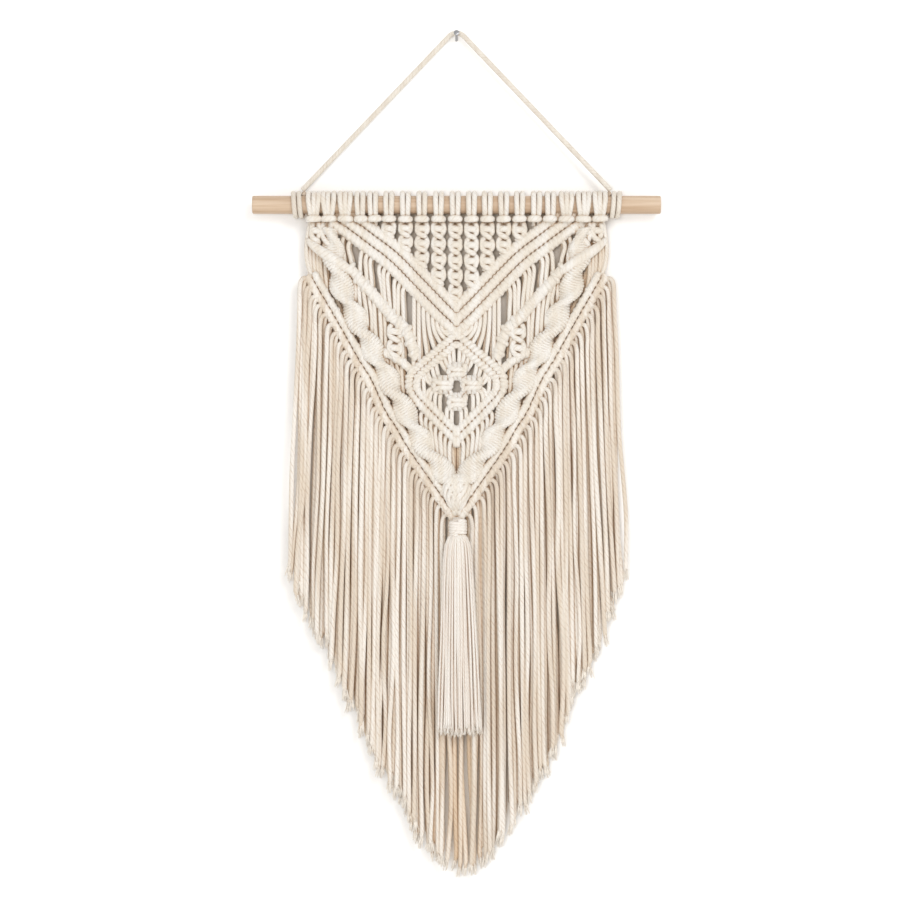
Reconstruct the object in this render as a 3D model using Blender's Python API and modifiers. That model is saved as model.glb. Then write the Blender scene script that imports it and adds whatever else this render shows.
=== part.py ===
"""A knotted cotton wall hanging: cords in lark's head knots on a wooden dowel, a V of hitched rows with a
diamond and two twisted bands under it, a long fringe cut to a point, and a tassel.

Blender units are metres, and +Z is up. Named sizes are millimetres. The origin is where the nail enters the
wall, the wall is the plane Y = 0, and the front faces -Y. In the tables "out" is the distance from the
centre line, "drop" the distance below the nail's head, and "depth" the distance in front of the wall.
"""

import math

import bmesh
import bpy
from mathutils import Vector

MM = 0.001
GAP = 0.3  # between pieces that touch
PLAIN_STEP = 2.0  # between the points of a smooth line

CORD = 5.0
STRAND = 4.2  # a cord's side, as a bar in the solids
STRAND_SECTION = ((-1.1, -0.9), (1.1, -0.9), (0, 1.3))  # of a cord between bars, in halves of its side

NAIL_ENTRY = 5.9  # drop of the point where the nail enters the wall
NAIL_TILT = math.radians(18)
NAIL_SIDES = 12
NAIL_PROFILE = (  # distance along the nail, radius
    (0.0, 1.3),
    (17.6, 1.3),
    (17.6, 2.2),
    (18.0, 2.8),
    (18.6, 2.8),
    (19.0, 2.2),
)

DOWEL_DIAMETER = 18.0
DOWEL_LENGTH = 408.0
DOWEL_DROP = 172.0
DOWEL_DEPTH = 15.0
DOWEL_SIDES = 24
DOWEL_EDGE = 0.6

HANGER_BEND = 10.0  # radius of the cord's centre line over the nail
HANGER_CROWN = -0.8  # drop of the centre line there
HANGER_CROWN_DEPTH = 7.0
HANGER_FOOT_OUT = 154.0
HANGER_FOOT_RISE = 0.4
HANGER_STEPS = 9
WRAP_TURNS_OUT = (155.2, 160.6)
WRAP_SIDES = 5
WRAP_SEGMENTS = 12

HEADS = 19  # lark's head knots
HEAD_PITCH = 15.86
HEAD_WIDTH = 12.4
HEAD_THICK = 4.8
HEAD_SEGMENTS = 8
RAIL_DROP = 185.6  # the knots' bars, side by side under the dowel
RAIL_HALF_HEIGHT = 3.8
RAIL_HALF_DEPTH = 4.6
RAIL_DEPTH = 19.0
RAIL_NECK = 0.6  # its thickness between two knots, as a share
HEAD_RIDGE = 0.55  # where the two cords of a knot lie, as a share of its half width
HEAD_DIP = 0.35  # the height between them, as a share

PANEL_TOP = RAIL_DROP + RAIL_HALF_HEIGHT + GAP
CUTTER = (400.0, 60.0, 60.0)  # the box that levels the panel's top
PANEL_DEPTH = 13.5
STRAND_DEPTH = 13.0
BAR_BACK = -3.6  # a bar's flat back, measured from PANEL_DEPTH
BAR_EDGE = 0.4
BAR_GROOVE = 1.2
BAR_CROWN = 4.2
VALLEY = 0.5  # a crown's height between two hitches, as a share
VALLEY_WIDTH = 0.92
V_TO_STRANDS = 13.5  # from the V's centre line down to where its cords show

# Every knotted bar: its rows, the width of one, the length of a hitch, and its centre line as (out, drop).
BARS = {
    "main_v": (3, 10.0, 13.0, ((124, 179), (106, 192), (61.5, 225), (34, 253), (12.5, 275.6), (-3, 290))),
    "long_chain": (1, 11.0, 11.0, ((112, 229), (78.5, 267), (50.5, 297), (38, 327))),
    "short_chain": (1, 11.0, 9.0, ((73, 319), (58, 330), (44, 341))),
    "diamond_top": (2, 8.0, 11.0, ((-4, 305), (19.5, 322), (36, 335.5), (43.5, 352))),
    "diamond_foot": (2, 8.0, 11.0, ((43.5, 346), (33.5, 373), (10.5, 397), (-4, 410))),
}

# The outer V, as the line between its two rows.
OUTER_V = (
    (140, 252.5),
    (128, 273),
    (112.5, 300),
    (98, 326),
    (84.5, 348),
    (71, 378),
    (60, 395),
    (48.5, 415),
    (27, 446),
    (4.5, 477.5),
    (0, 484),
)
OUTER_ROW = 8.0  # the width of each of its rows
OUTER_HITCH = 15.0

# The twisted bands' centre line.
TWIST_LINE = (
    (136, 184),
    (129, 212),
    (120, 236),
    (114.5, 256.5),
    (97.5, 291),
    (81.5, 322),
    (65.5, 352),
    (47.5, 386),
    (31, 415),
    (14, 438),
    (2, 448),
)
TWIST_HALF_WIDTH = 12.0
TWIST_HALF_THICK = 6.2
TWIST_DEPTH = 15.0
TWIST_FLAT = 0.75
TWIST_LOBE = 32.5  # length of half a turn
TWIST_FIRST_LOBE = 15.0
TWIST_RINGS = 4  # in each half turn
TWIST_SIDES = 6

SINNETS = 9
SINNET_TUCK = 4.0  # how far above the panel's top each starts
SINNET_TO_V = 12.0  # from its foot down to the V's centre line
SINNET_KNOT = 16.5
SINNET_HALF_WIDTH = 6.8
SINNET_NECK = 0.68

# Square knots in the diamond: across, drop.
DIAMOND_KNOTS = ((0.0, 338.6), (-14.2, 352.0), (14.2, 352.0), (0.0, 366.5))
KNOT_HALF = (10.0, 5.6, 6.0)

BERRY_DROP = 455.0
BERRY_HALF = (13.0, 8.5, 12.0)
BERRY_FORWARD = 2.0

# Cords that run from one bar down to another: from, to, out at the top, out at the bottom.
DROPS = (
    ("main_v", "long_chain", 112, 108),
    ("main_v", "long_chain", 105.5, 102.5),
    ("main_v", "long_chain", 96, 94),
    ("main_v", "long_chain", 90, 88),
    ("main_v", "long_chain", 79, 76),
    ("main_v", "long_chain", 73, 70),
    ("main_v", "long_chain", 66, 64),
    ("main_v", "long_chain", 56.5, 54),
    ("main_v", "long_chain", 50, 48),
    ("long_chain", "twist", 98.5, 98),
    ("long_chain", "twist", 91, 90),
    ("long_chain", "twist", 84.5, 83.5),
    ("long_chain", "twist", 77.5, 76.5),
    ("long_chain", "short_chain", 67.5, 66.5),
    ("long_chain", "short_chain", 60.5, 60),
    ("long_chain", "short_chain", 45.5, 46.5),
    ("diamond_foot", "twist", 29, 27.5),
    ("diamond_foot", "twist", 22, 20.5),
    ("diamond_foot", "twist", 14.5, 14),
    ("diamond_foot", "twist", 6.8, 7),
    ("twist", "inner_row", 133, 134.5),
    ("twist", "inner_row", 126.5, 127.5),
)

# Bent cords, each as three points of (out, drop): the fan under the V's point, then those in the diamond,
# then the loop at the panel's edge.
BENT = (
    ((43.5, 266), (43, 290), (41.5, 318)),
    ((37, 271), (36, 300), (30.5, 327)),
    ((30.5, 277), (29.5, 302), (24, 322)),
    ((24, 283), (23.3, 302), (18, 317)),
    ((17.5, 290), (17, 302), (12.5, 313)),
    ((9.5, 316), (8, 325), (5.6, 337)),
    ((22.5, 326), (19, 338), (16.5, 350)),
    ((29.5, 331), (30.5, 350), (29.5, 376)),
    ((17, 354), (18.5, 368), (18, 388)),
    ((6.5, 340), (9, 346), (9.5, 351)),
    ((9.5, 353), (8, 359), (6, 365)),
    ((5, 368), (6, 382), (5.5, 399)),
    ((138, 204), (145, 226), (137.5, 249)),
)

FRINGE_STRANDS = 25  # in each of the two layers of a side
FRINGE_HALF_WIDTH = 4.0
FRINGE_HALF_DEPTH = 3.5
FRINGE_LAYER = 3.3  # depth of a layer, each way from the strip
FRINGE_SHIFT = 3.0  # the back layer hangs this much nearer the centre line
FRINGE_TOP_OUT = 155.0  # where the outermost strand hangs, and the innermost
FRINGE_END_OUT = 6.5
STRIP_END_OUT = 8.2  # the strip stops here, beside the tassel's neck
FRINGE_SPLAY = 9.0  # how far the outermost cut end hangs beyond its top
FRINGE_ARCH = 13.0
ARCH_SPREAD = 0.55  # how far over a strand has come at a third of its arch
ROOT_BLEND = 0.4  # how much of its root's slant it still has there
TIP_TRIM = (0, 9, 3, 14, 6, 1, 11, 4)  # how much shorter each cut end is, in turn
# Where the cut ends lie, as (out, drop) from the outermost strand to the centre.
TIPS = {
    "left": (
        (165, 545),
        (156, 570),
        (138, 606),
        (126, 622),
        (111, 662),
        (86, 717),
        (61, 762),
        (36, 806),
        (0, 842),
    ),
    "right": (
        (169, 541),
        (156, 571),
        (143, 611),
        (133, 642),
        (113, 672),
        (103, 710),
        (68, 772),
        (33, 822),
        (0, 842),
    ),
}
TIPS_STEP = 8.0
BEHIND_TASSEL_OUT = 34.0  # nearer the centre line than this the strands bend back behind the tassel
BEHIND_TASSEL = 6.2
BEHIND_TASSEL_RUN = 12.0

TASSEL_DEPTH = 22.0
# The tassel's head: drop, half width, half depth.
TASSEL_HEAD = (
    (484.2, 3.9, 2.6),
    (487.0, 6.5, 6.0),
    (489.5, 9.0, 8.0),
    (495.0, 9.6, 8.4),
    (501.0, 9.0, 8.0),
    (503.5, 10.5, 8.0),
    (508.0, 11.0, 8.0),
)
TASSEL_NECK_DEPTH = 14.6
TASSEL_SIDES = 8
TASSEL_STRANDS = 14
TASSEL_SKIRT_TOP = 506.0
TASSEL_SKIRT_TIP = 701.0
TASSEL_TOP_HALF = (8.2, 5.4)
TASSEL_TIP_HALF = (20.5, 6.6)
TASSEL_FLARE = 60.0  # length over which the skirt widens to most of its width
TASSEL_FLARE_SHARE = 0.8
TASSEL_TRIM = 0.7

COTTON = (0.86, 0.79, 0.69)
COTTON_SHADE = (0.80, 0.72, 0.61)
WOOD = (0.74, 0.56, 0.38)
STEEL = (0.45, 0.45, 0.46)


def place(across, drop, depth):
    """The point that lies this many millimetres to the right, below the nail's head, and off the wall."""
    return Vector((across, -depth, NAIL_ENTRY - drop)) * MM


def new_collection(name, hidden=False):
    made = bpy.data.collections.new(name)
    made.hide_render = hidden
    bpy.context.scene.collection.children.link(made)
    return made


def material(name, color, roughness, metallic=0.0):
    made = bpy.data.materials.new(name)
    made.use_nodes = True
    shader = made.node_tree.nodes["Principled BSDF"]
    shader.inputs["Base Color"].default_value = (*color, 1)
    shader.inputs["Roughness"].default_value = roughness
    shader.inputs["Metallic"].default_value = metallic
    return made


def finish(name, data, home):
    """An object of this mesh, in this collection."""
    obj = bpy.data.objects.new(name, data)
    home.objects.link(obj)
    return obj


def mesh_of(name, built):
    """A mesh from a bmesh, with its faces turned outwards."""
    bmesh.ops.recalc_face_normals(built, faces=built.faces)
    data = bpy.data.meshes.new(name)
    built.to_mesh(data)
    built.free()
    return data


def skin(built, rings):
    """Faces between rings of points that lie one after the other, and over the two ends."""
    loops = [[built.verts.new(point) for point in ring] for ring in rings]
    for near, far in zip(loops, loops[1:]):
        for i, vert in enumerate(near):
            j = (i + 1) % len(near)
            built.faces.new((vert, near[j], far[j], far[i]))
    built.faces.new(loops[0][::-1])
    built.faces.new(loops[-1])
    return loops


def loft(name, rings, home):
    built = bmesh.new()
    skin(built, rings)
    return finish(name, mesh_of(name, built), home)


def smooth_line(points, step=PLAIN_STEP):
    """A smooth curve through these points, as points about a step apart."""
    ends = [points[0], *points, points[-1]]
    line = []
    for before, start, end, after in zip(ends, ends[1:], ends[2:], ends[3:]):
        before, start, end, after = (Vector(p) for p in (before, start, end, after))
        count = max(1, round((end - start).length / step))
        for i in range(count):
            t = i / count
            line.append(
                0.5
                * (
                    2 * start
                    + (end - before) * t
                    + (2 * before - 5 * start + 4 * end - after) * t**2
                    + (3 * start - before - 3 * end + after) * t**3
                )
            )
    line.append(Vector(points[-1]))
    return line


def lengths(line):
    total = [0.0]
    for a, b in zip(line, line[1:]):
        total.append(total[-1] + (b - a).length)
    return total


def at_length(line, marks, distance):
    """The point at this distance along the line, and the line's direction there."""
    distance = min(max(distance, 0.0), marks[-1])
    i = next((k for k in range(1, len(marks)) if marks[k] >= distance), len(marks) - 1)
    share = (distance - marks[i - 1]) / max(marks[i] - marks[i - 1], 1e-9)
    near, far = line[max(i - 2, 0)], line[min(i + 1, len(line) - 1)]
    return line[i - 1].lerp(line[i], share), (far - near).normalized()


def offset_line(line, distance):
    """The line moved sideways by this distance, away from the centre line where it is positive."""
    moved = []
    for i, point in enumerate(line):
        along = (line[min(i + 1, len(line) - 1)] - line[max(i - 1, 0)]).normalized()
        moved.append(point + Vector((along.y, -along.x)) * distance)
    return moved


def level(line, out):
    """The drop at which a line of (out, drop) points passes this distance from the centre line."""
    for a, b in zip(line, line[1:]):
        if min(a.x, b.x) <= out <= max(a.x, b.x) and a.x != b.x:
            return a.lerp(b, (out - a.x) / (b.x - a.x)).y
    return min(line, key=lambda p: abs(p.x - out)).y


def band_ring(centre, along, rows, row_width, crown, side):
    """One ring of a bar of hitched rows: flat behind, with a ridge in front for each row."""
    narrow = 1.0 if crown == 1.0 else VALLEY_WIDTH
    half = rows * row_width / 2 * narrow
    profile = [(-half, BAR_BACK), (half, BAR_BACK), (half, BAR_EDGE)]
    for row in range(rows):
        middle = half - (row + 0.5) * row_width * narrow
        profile.append((middle, BAR_CROWN * crown))
        if row < rows - 1:
            profile.append((middle - row_width * narrow / 2, BAR_GROOVE))
    profile.append((-half, BAR_EDGE))
    across = Vector((along.y, -along.x))
    ring = []
    for u, v in profile:
        spot = centre + across * u
        ring.append(place(side * spot.x, spot.y, PANEL_DEPTH + v))
    return ring


def knotted_bar(name, line, rows, row_width, hitch, side, home):
    """A bar of double half hitches: it swells at each hitch and is drawn in between two."""
    marks = lengths(line)
    count = max(2, round(marks[-1] / hitch))
    rings = []
    for k in range(2 * count + 1):
        centre, along = at_length(line, marks, marks[-1] * k / (2 * count))
        crown = 1.0 if k % 2 else VALLEY
        rings.append(band_ring(centre, along, rows, row_width, crown, side))
    return loft(name, rings, home)


def strand(name, points, home):
    """A cord as a three-sided bar through points of (across, drop, depth), with its ridge in front."""
    half = STRAND / 2
    rings = []
    for i, (across, drop, depth) in enumerate(points):
        before, after = points[max(i - 1, 0)], points[min(i + 1, len(points) - 1)]
        along = Vector((after[0] - before[0], after[1] - before[1])).normalized()
        side = Vector((along.y, -along.x)) * half
        rings.append(
            [
                place(across + side.x * u, drop + side.y * u, depth + half * v)
                for u, v in STRAND_SECTION
            ]
        )
    return loft(name, rings, home)


def twist_line():
    return smooth_line(TWIST_LINE)


def twisted_band(name, side, home):
    """A band of half knots that turns over and over: its flat section makes half a turn in each lobe."""
    line = twist_line()
    marks = lengths(line)
    count = round(marks[-1] / TWIST_LOBE * TWIST_RINGS)
    rings = []
    for k in range(count + 1):
        distance = marks[-1] * k / count
        centre, along = at_length(line, marks, distance)
        turn = math.pi * (distance - TWIST_FIRST_LOBE) / TWIST_LOBE
        across = Vector((along.y, -along.x))
        ring = []
        for i in range(TWIST_SIDES):
            around = math.tau * i / TWIST_SIDES
            wide, thick = TWIST_HALF_WIDTH * math.cos(around), TWIST_HALF_THICK * math.sin(around)
            u = wide * math.cos(turn) - thick * math.sin(turn)
            v = wide * math.sin(turn) + thick * math.cos(turn)
            spot = centre + across * u
            ring.append(place(side * spot.x, spot.y, TWIST_DEPTH + TWIST_FLAT * v))
        rings.append(ring)
    return loft(name, rings, home)


def sinnet(name, across, bottom, home):
    """A column of square knots, drawn in between each two."""
    top = PANEL_TOP - SINNET_TUCK
    count = max(1, round((bottom - top) / SINNET_KNOT * 2))
    rings = []
    for k in range(count + 1):
        drop = top + (bottom - top) * k / count
        share = 1.0 if k % 2 else SINNET_NECK
        half = SINNET_HALF_WIDTH * share
        rings.append(
            [
                place(across + u * half, drop, PANEL_DEPTH + v)
                for u, v in ((-0.8, BAR_BACK), (0.8, BAR_BACK), (1, 0), (0, BAR_CROWN * share), (-1, 0))
            ]
        )
    return loft(name, rings, home)


def lump(name, across, drop, depth, half, segments, home):
    """A round knot: a low sphere of these half sizes."""
    built = bmesh.new()
    bmesh.ops.create_uvsphere(built, u_segments=segments, v_segments=segments // 2 + 1, radius=1)
    bmesh.ops.scale(built, vec=Vector(half) * MM, verts=built.verts)
    bmesh.ops.translate(built, vec=place(across, drop, depth), verts=built.verts)
    return finish(name, mesh_of(name, built), home)


def fuse(name, pieces, parts, cutters, cut=None, solver="EXACT"):
    """One solid from overlapping pieces, less the cutter if there is one."""
    first = pieces[0]
    first.name = name
    cutters.objects.unlink(first)
    parts.objects.link(first)
    first.hide_render = False
    first.display_type = "TEXTURED"
    others = new_collection(name + "_pieces", hidden=True)
    for piece in pieces[1:]:
        cutters.objects.unlink(piece)
        others.objects.link(piece)
        piece.hide_render = True
        piece.display_type = "WIRE"
    union = first.modifiers.new("fused", "BOOLEAN")
    union.operation = "UNION"
    union.operand_type = "COLLECTION"
    union.collection = others
    union.solver = solver
    if cut:
        trim = first.modifiers.new("trimmed", "BOOLEAN")
        trim.operation = "DIFFERENCE"
        trim.object = cut
        trim.solver = solver
    return first


def build_nail(parts):
    """The part of the nail that stands out of the wall, tilted up, with its back cut flat at the wall."""
    axis = Vector((0, -math.cos(NAIL_TILT), math.sin(NAIL_TILT)))
    up = Vector((0, math.sin(NAIL_TILT), math.cos(NAIL_TILT)))
    right = Vector((1, 0, 0))
    rings = []
    for distance, radius in NAIL_PROFILE:
        ring = []
        for i in range(NAIL_SIDES):
            around = math.tau * i / NAIL_SIDES
            spot = axis * distance + (right * math.cos(around) + up * math.sin(around)) * radius
            if distance == 0:
                spot -= axis * (spot.y / axis.y)
            ring.append(spot * MM)
        rings.append(ring)
    return loft("nail", rings, parts)


def build_dowel(parts):
    built = bmesh.new()
    radius = DOWEL_DIAMETER / 2 * MM
    bmesh.ops.create_cone(
        built,
        cap_ends=True,
        segments=DOWEL_SIDES,
        radius1=radius,
        radius2=radius,
        depth=DOWEL_LENGTH * MM,
    )
    dowel = finish("dowel", mesh_of("dowel", built), parts)
    dowel.rotation_euler = (0, math.pi / 2, 0)
    dowel.location = place(0, DOWEL_DROP, DOWEL_DEPTH)
    edge = dowel.modifiers.new("sanded edges", "BEVEL")
    edge.width = DOWEL_EDGE * MM
    edge.segments = 1
    edge.limit_method = "ANGLE"
    edge.angle_limit = math.radians(60)
    return dowel


def hanger_route():
    """The hanging cord's centre line: up from the left wrap, over the nail, down to the right wrap."""
    foot_drop = DOWEL_DROP - DOWEL_DIAMETER / 2 - GAP - CORD - HANGER_FOOT_RISE
    middle_drop = HANGER_CROWN + HANGER_BEND
    run, fall = HANGER_FOOT_OUT, foot_drop - middle_drop
    bend = math.atan2(fall, run) + math.asin(HANGER_BEND / math.hypot(run, fall))
    half = [(HANGER_FOOT_OUT, foot_drop, DOWEL_DEPTH)]
    touch = (HANGER_BEND * math.sin(bend), middle_drop - HANGER_BEND * math.cos(bend))
    for i in range(1, HANGER_STEPS):
        share = i / HANGER_STEPS
        half.append(
            (
                HANGER_FOOT_OUT + (touch[0] - HANGER_FOOT_OUT) * share,
                foot_drop + (touch[1] - foot_drop) * share,
                DOWEL_DEPTH + (HANGER_CROWN_DEPTH - DOWEL_DEPTH) * share,
            )
        )
    for i in range(5):
        angle = bend * (1 - i / 4)
        half.append(
            (
                HANGER_BEND * math.sin(angle),
                middle_drop - HANGER_BEND * math.cos(angle),
                HANGER_CROWN_DEPTH,
            )
        )
    left = [(-out, drop, depth) for out, drop, depth in half]
    return left + half[-2::-1]


def build_hanger(parts):
    route = hanger_route()
    curve = bpy.data.curves.new("hanger", "CURVE")
    curve.dimensions = "3D"
    curve.bevel_depth = CORD / 2 * MM
    curve.bevel_resolution = 2
    curve.use_fill_caps = True
    spline = curve.splines.new("POLY")
    spline.points.add(len(route) - 1)
    for point, spot in zip(spline.points, route):
        point.co = (*place(*spot), 1)
    return finish("hanger", curve, parts)


def ring_round_dowel(name, across, profile, segments, home):
    """A ring round the dowel, from a closed profile of (along the dowel, off the dowel)."""
    built = bmesh.new()
    start = [
        built.verts.new(place(across + u, DOWEL_DROP, DOWEL_DEPTH + DOWEL_DIAMETER / 2 + GAP + v))
        for u, v in profile
    ]
    edges = [built.edges.new((a, b)) for a, b in zip(start, start[1:] + start[:1])]
    bmesh.ops.spin(
        built,
        geom=start + edges,
        cent=place(0, DOWEL_DROP, DOWEL_DEPTH),
        axis=(1, 0, 0),
        angle=math.tau,
        steps=segments,
        use_merge=True,
    )
    return finish(name, mesh_of(name, built), home)


def build_wraps(parts, cutters):
    """The hanging cord's ends, each wound twice round the dowel."""
    grow = 1 / math.cos(math.pi / WRAP_SEGMENTS)
    clear = (DOWEL_DIAMETER / 2 + GAP) * (grow - 1)
    radius = CORD / 2 + 0.5
    profile = [
        (
            radius * math.cos(math.tau * i / WRAP_SIDES),
            CORD / 2 + clear + CORD / 2 * math.sin(math.tau * i / WRAP_SIDES),
        )
        for i in range(WRAP_SIDES)
    ]
    made = []
    for side, word in ((-1, "left"), (1, "right")):
        turns = [
            ring_round_dowel(f"turn_{word}_{out:.0f}", side * out, profile, WRAP_SEGMENTS, cutters)
            for out in WRAP_TURNS_OUT
        ]
        made.append(fuse("hanger_wrap_" + word, turns, parts, cutters))
    return made


def build_heading(parts, cutters):
    """The lark's head knots: each two cords over the dowel, and one bar across them underneath."""
    grow = 1 / math.cos(math.pi / HEAD_SEGMENTS)
    clear = (DOWEL_DIAMETER / 2 + GAP) * (grow - 1)
    half = HEAD_WIDTH / 2
    profile = [
        (-half, clear),
        (-half * HEAD_RIDGE, clear + HEAD_THICK),
        (0, clear + HEAD_THICK * HEAD_DIP),
        (half * HEAD_RIDGE, clear + HEAD_THICK),
        (half, clear),
    ]
    centres = [(i - (HEADS - 1) / 2) * HEAD_PITCH for i in range(HEADS)]
    rail = []
    for k in range(2 * HEADS + 1):
        x = centres[0] + (k - 1) * HEAD_PITCH / 2
        share = 1.0 if k % 2 else RAIL_NECK
        rail.append(
            [
                place(x, RAIL_DROP + RAIL_HALF_HEIGHT * u, RAIL_DEPTH + RAIL_HALF_DEPTH * v * share)
                for u, v in ((1, -1), (1, 0.5), (0, 1), (-0.6, 0.5), (-0.6, -1))
            ]
        )
    pieces = [loft("rail", rail, cutters)]
    for i, across in enumerate(centres):
        pieces.append(ring_round_dowel(f"head_{i}", across, profile, HEAD_SEGMENTS, cutters))
    return fuse("heading", pieces, parts, cutters)


def outer_rows():
    """The centre lines of the outer V's inner row, which ends the panel, and its outer row, the strip."""
    line = smooth_line(OUTER_V)
    apart = OUTER_ROW / 2 + GAP / 2
    return offset_line(line, -apart), offset_line(line, apart)


def build_panel(parts, cutters):
    inner, _ = outer_rows()
    lines = {name: smooth_line(row[3]) for name, row in BARS.items()}
    lines["twist"] = twist_line()
    lines["inner_row"] = inner
    pieces = []
    for side, word in ((-1, "left"), (1, "right")):
        for name, (rows, width, hitch, _) in BARS.items():
            pieces.append(knotted_bar(f"{name}_{word}", lines[name], rows, width, hitch, side, cutters))
        pieces.append(knotted_bar(f"inner_row_{word}", inner, 1, OUTER_ROW, OUTER_HITCH, side, cutters))
        pieces.append(twisted_band("twist_" + word, side, cutters))
        for i, (above, below, top, bottom) in enumerate(DROPS):
            start = level(lines[above], top) + (V_TO_STRANDS if above == "main_v" else 0)
            ends = (
                (side * top, start, STRAND_DEPTH),
                (side * bottom, level(lines[below], bottom), STRAND_DEPTH),
            )
            pieces.append(strand(f"drop_{word}_{i}", ends, cutters))
        for i, points in enumerate(BENT):
            ends = [(side * out, drop, STRAND_DEPTH) for out, drop in points]
            pieces.append(strand(f"bent_{word}_{i}", ends, cutters))
    for i in range(SINNETS):
        across = (i - (SINNETS - 1) / 2) * HEAD_PITCH
        bottom = level(lines["main_v"], abs(across)) - SINNET_TO_V
        pieces.append(sinnet(f"sinnet_{i}", across, bottom, cutters))
    for i, (across, drop) in enumerate(DIAMOND_KNOTS):
        pieces.append(lump(f"square_knot_{i}", across, drop, PANEL_DEPTH, KNOT_HALF, 8, cutters))
    pieces.append(lump("berry", 0, BERRY_DROP, PANEL_DEPTH + BERRY_FORWARD, BERRY_HALF, 10, cutters))
    cut = block("above_panel", CUTTER, place(0, PANEL_TOP - CUTTER[2] / 2, PANEL_DEPTH), cutters)
    return fuse("macrame_panel", pieces, parts, cutters, cut, solver="MANIFOLD")


def block(name, size, centre, home):
    """A box cutter."""
    built = bmesh.new()
    bmesh.ops.create_cube(built, size=1)
    bmesh.ops.scale(built, vec=Vector(size) * MM, verts=built.verts)
    bmesh.ops.translate(built, vec=centre, verts=built.verts)
    cutter = finish(name, mesh_of(name, built), home)
    cutter.hide_render = True
    cutter.display_type = "WIRE"
    return cutter


def fringe_path(root, layer, index, side, tips):
    """A strand's centre line: out and over in a small arch, then straight down to its cut end."""
    share = index / (FRINGE_STRANDS - 1)
    out = FRINGE_TOP_OUT + (FRINGE_END_OUT - FRINGE_TOP_OUT) * share - (FRINGE_SHIFT if layer < 0 else 0)
    out = max(out, FRINGE_END_OUT if layer > 0 else FRINGE_END_OUT - FRINGE_SHIFT / 2)
    drop = NAIL_ENTRY - root.z / MM
    back = BEHIND_TASSEL * min(1.0, max(0.0, (BEHIND_TASSEL_OUT - out) / BEHIND_TASSEL_RUN))
    depth = PANEL_DEPTH + layer * FRINGE_LAYER - back
    trim = TIP_TRIM[(index * 3 + (layer < 0)) % len(TIP_TRIM)]
    root_out = side * root.x / MM
    splay = out + FRINGE_SPLAY * out / FRINGE_TOP_OUT
    tip = level(tips, splay) - trim
    return (
        (root_out + (out - root_out) * ARCH_SPREAD, drop + FRINGE_ARCH / 3, depth),
        (out, drop + FRINGE_ARCH * 4 / 3, depth),
        (splay, tip, depth),
    )


def build_fringe(side, word, parts):
    """The V's lowest row as a narrow strip, with the cords that hang from its underside."""
    _, outer = outer_rows()
    outer = [p for p in outer if p.x >= STRIP_END_OUT]
    marks = lengths(outer)
    tips = smooth_line(TIPS[word], TIPS_STEP)
    built = bmesh.new()
    section = [
        (FRINGE_HALF_WIDTH * math.cos(math.pi / 3 * i), FRINGE_HALF_DEPTH * math.sin(math.pi / 3 * i))
        for i in range(6)
    ]
    rings = []
    for k in range(FRINGE_STRANDS):
        for share, swell in ((0.06, 1.0), (0.86, 0.86)):
            centre, along = at_length(outer, marks, marks[-1] * (k + share) / FRINGE_STRANDS)
            across = Vector((along.y, -along.x))
            ring = []
            for u, v in section:
                spot = centre + across * u * (swell if u > 0 else 1.0)
                ring.append(place(side * spot.x, spot.y, PANEL_DEPTH + v * swell))
            rings.append(ring)
    loops = skin(built, rings)
    for k in range(FRINGE_STRANDS):
        near, far = loops[2 * k], loops[2 * k + 1]
        for layer, (front, back) in ((1, (1, 0)), (-1, (0, 5))):
            root = [near[front], far[front], far[back], near[back]]
            built.faces.remove(built.faces.get(root))
            middle = sum((v.co for v in root), Vector()) / 4
            grow_strand(built, root, fringe_path(middle, layer, k, side, tips), side)
    name = "fringe_" + word
    return finish(name, mesh_of(name, built), parts)


def grow_strand(built, root, path, side):
    """Carries a hole's four corners down a path as a square strand, and closes its end."""
    half = STRAND / 2
    loop = root
    for i, (out, drop, depth) in enumerate(path):
        corners = [
            place(side * (out + half * u), drop, depth + half * v)
            for u, v in ((1, 1), (-1, 1), (-1, -1), (1, -1))
        ]
        if i == 0:
            middle = sum((v.co for v in root), Vector()) / 4
            centre = place(side * out, drop, depth)
            corners = [
                corner.lerp(centre + vert.co - middle, ROOT_BLEND) for corner, vert in zip(corners, root)
            ]
        ring = [built.verts.new(corner) for corner in corners]
        for j, vert in enumerate(loop):
            k = (j + 1) % 4
            built.faces.new((vert, loop[k], ring[k], ring[j]))
        loop = ring
    built.faces.new(loop)


def build_tassel(parts, cutters):
    """A bound head with a neck at the V's point, and a skirt of cords."""
    rings = []
    for drop, wide, deep in TASSEL_HEAD:
        depth = TASSEL_NECK_DEPTH if drop == TASSEL_HEAD[0][0] else TASSEL_DEPTH
        rings.append(
            [
                place(
                    wide * math.cos(math.tau * i / TASSEL_SIDES),
                    drop,
                    depth + deep * math.sin(math.tau * i / TASSEL_SIDES),
                )
                for i in range(TASSEL_SIDES)
            ]
        )
    pieces = [loft("tassel_head", rings, cutters)]
    for i in range(TASSEL_STRANDS):
        around = math.tau * (i + 0.5) / TASSEL_STRANDS
        u, v = math.cos(around), math.sin(around)
        tip = TASSEL_SKIRT_TIP - TIP_TRIM[i % len(TIP_TRIM)] * TASSEL_TRIM
        path = (
            (TASSEL_TOP_HALF[0] * u, TASSEL_SKIRT_TOP, TASSEL_DEPTH + TASSEL_TOP_HALF[1] * v),
            (
                TASSEL_TIP_HALF[0] * u * TASSEL_FLARE_SHARE,
                TASSEL_SKIRT_TOP + TASSEL_FLARE,
                TASSEL_DEPTH + TASSEL_TIP_HALF[1] * v,
            ),
            (TASSEL_TIP_HALF[0] * u, tip, TASSEL_DEPTH + TASSEL_TIP_HALF[1] * v),
        )
        pieces.append(strand(f"tassel_cord_{i}", path, cutters))
    return fuse("tassel", pieces, parts, cutters)


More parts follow.
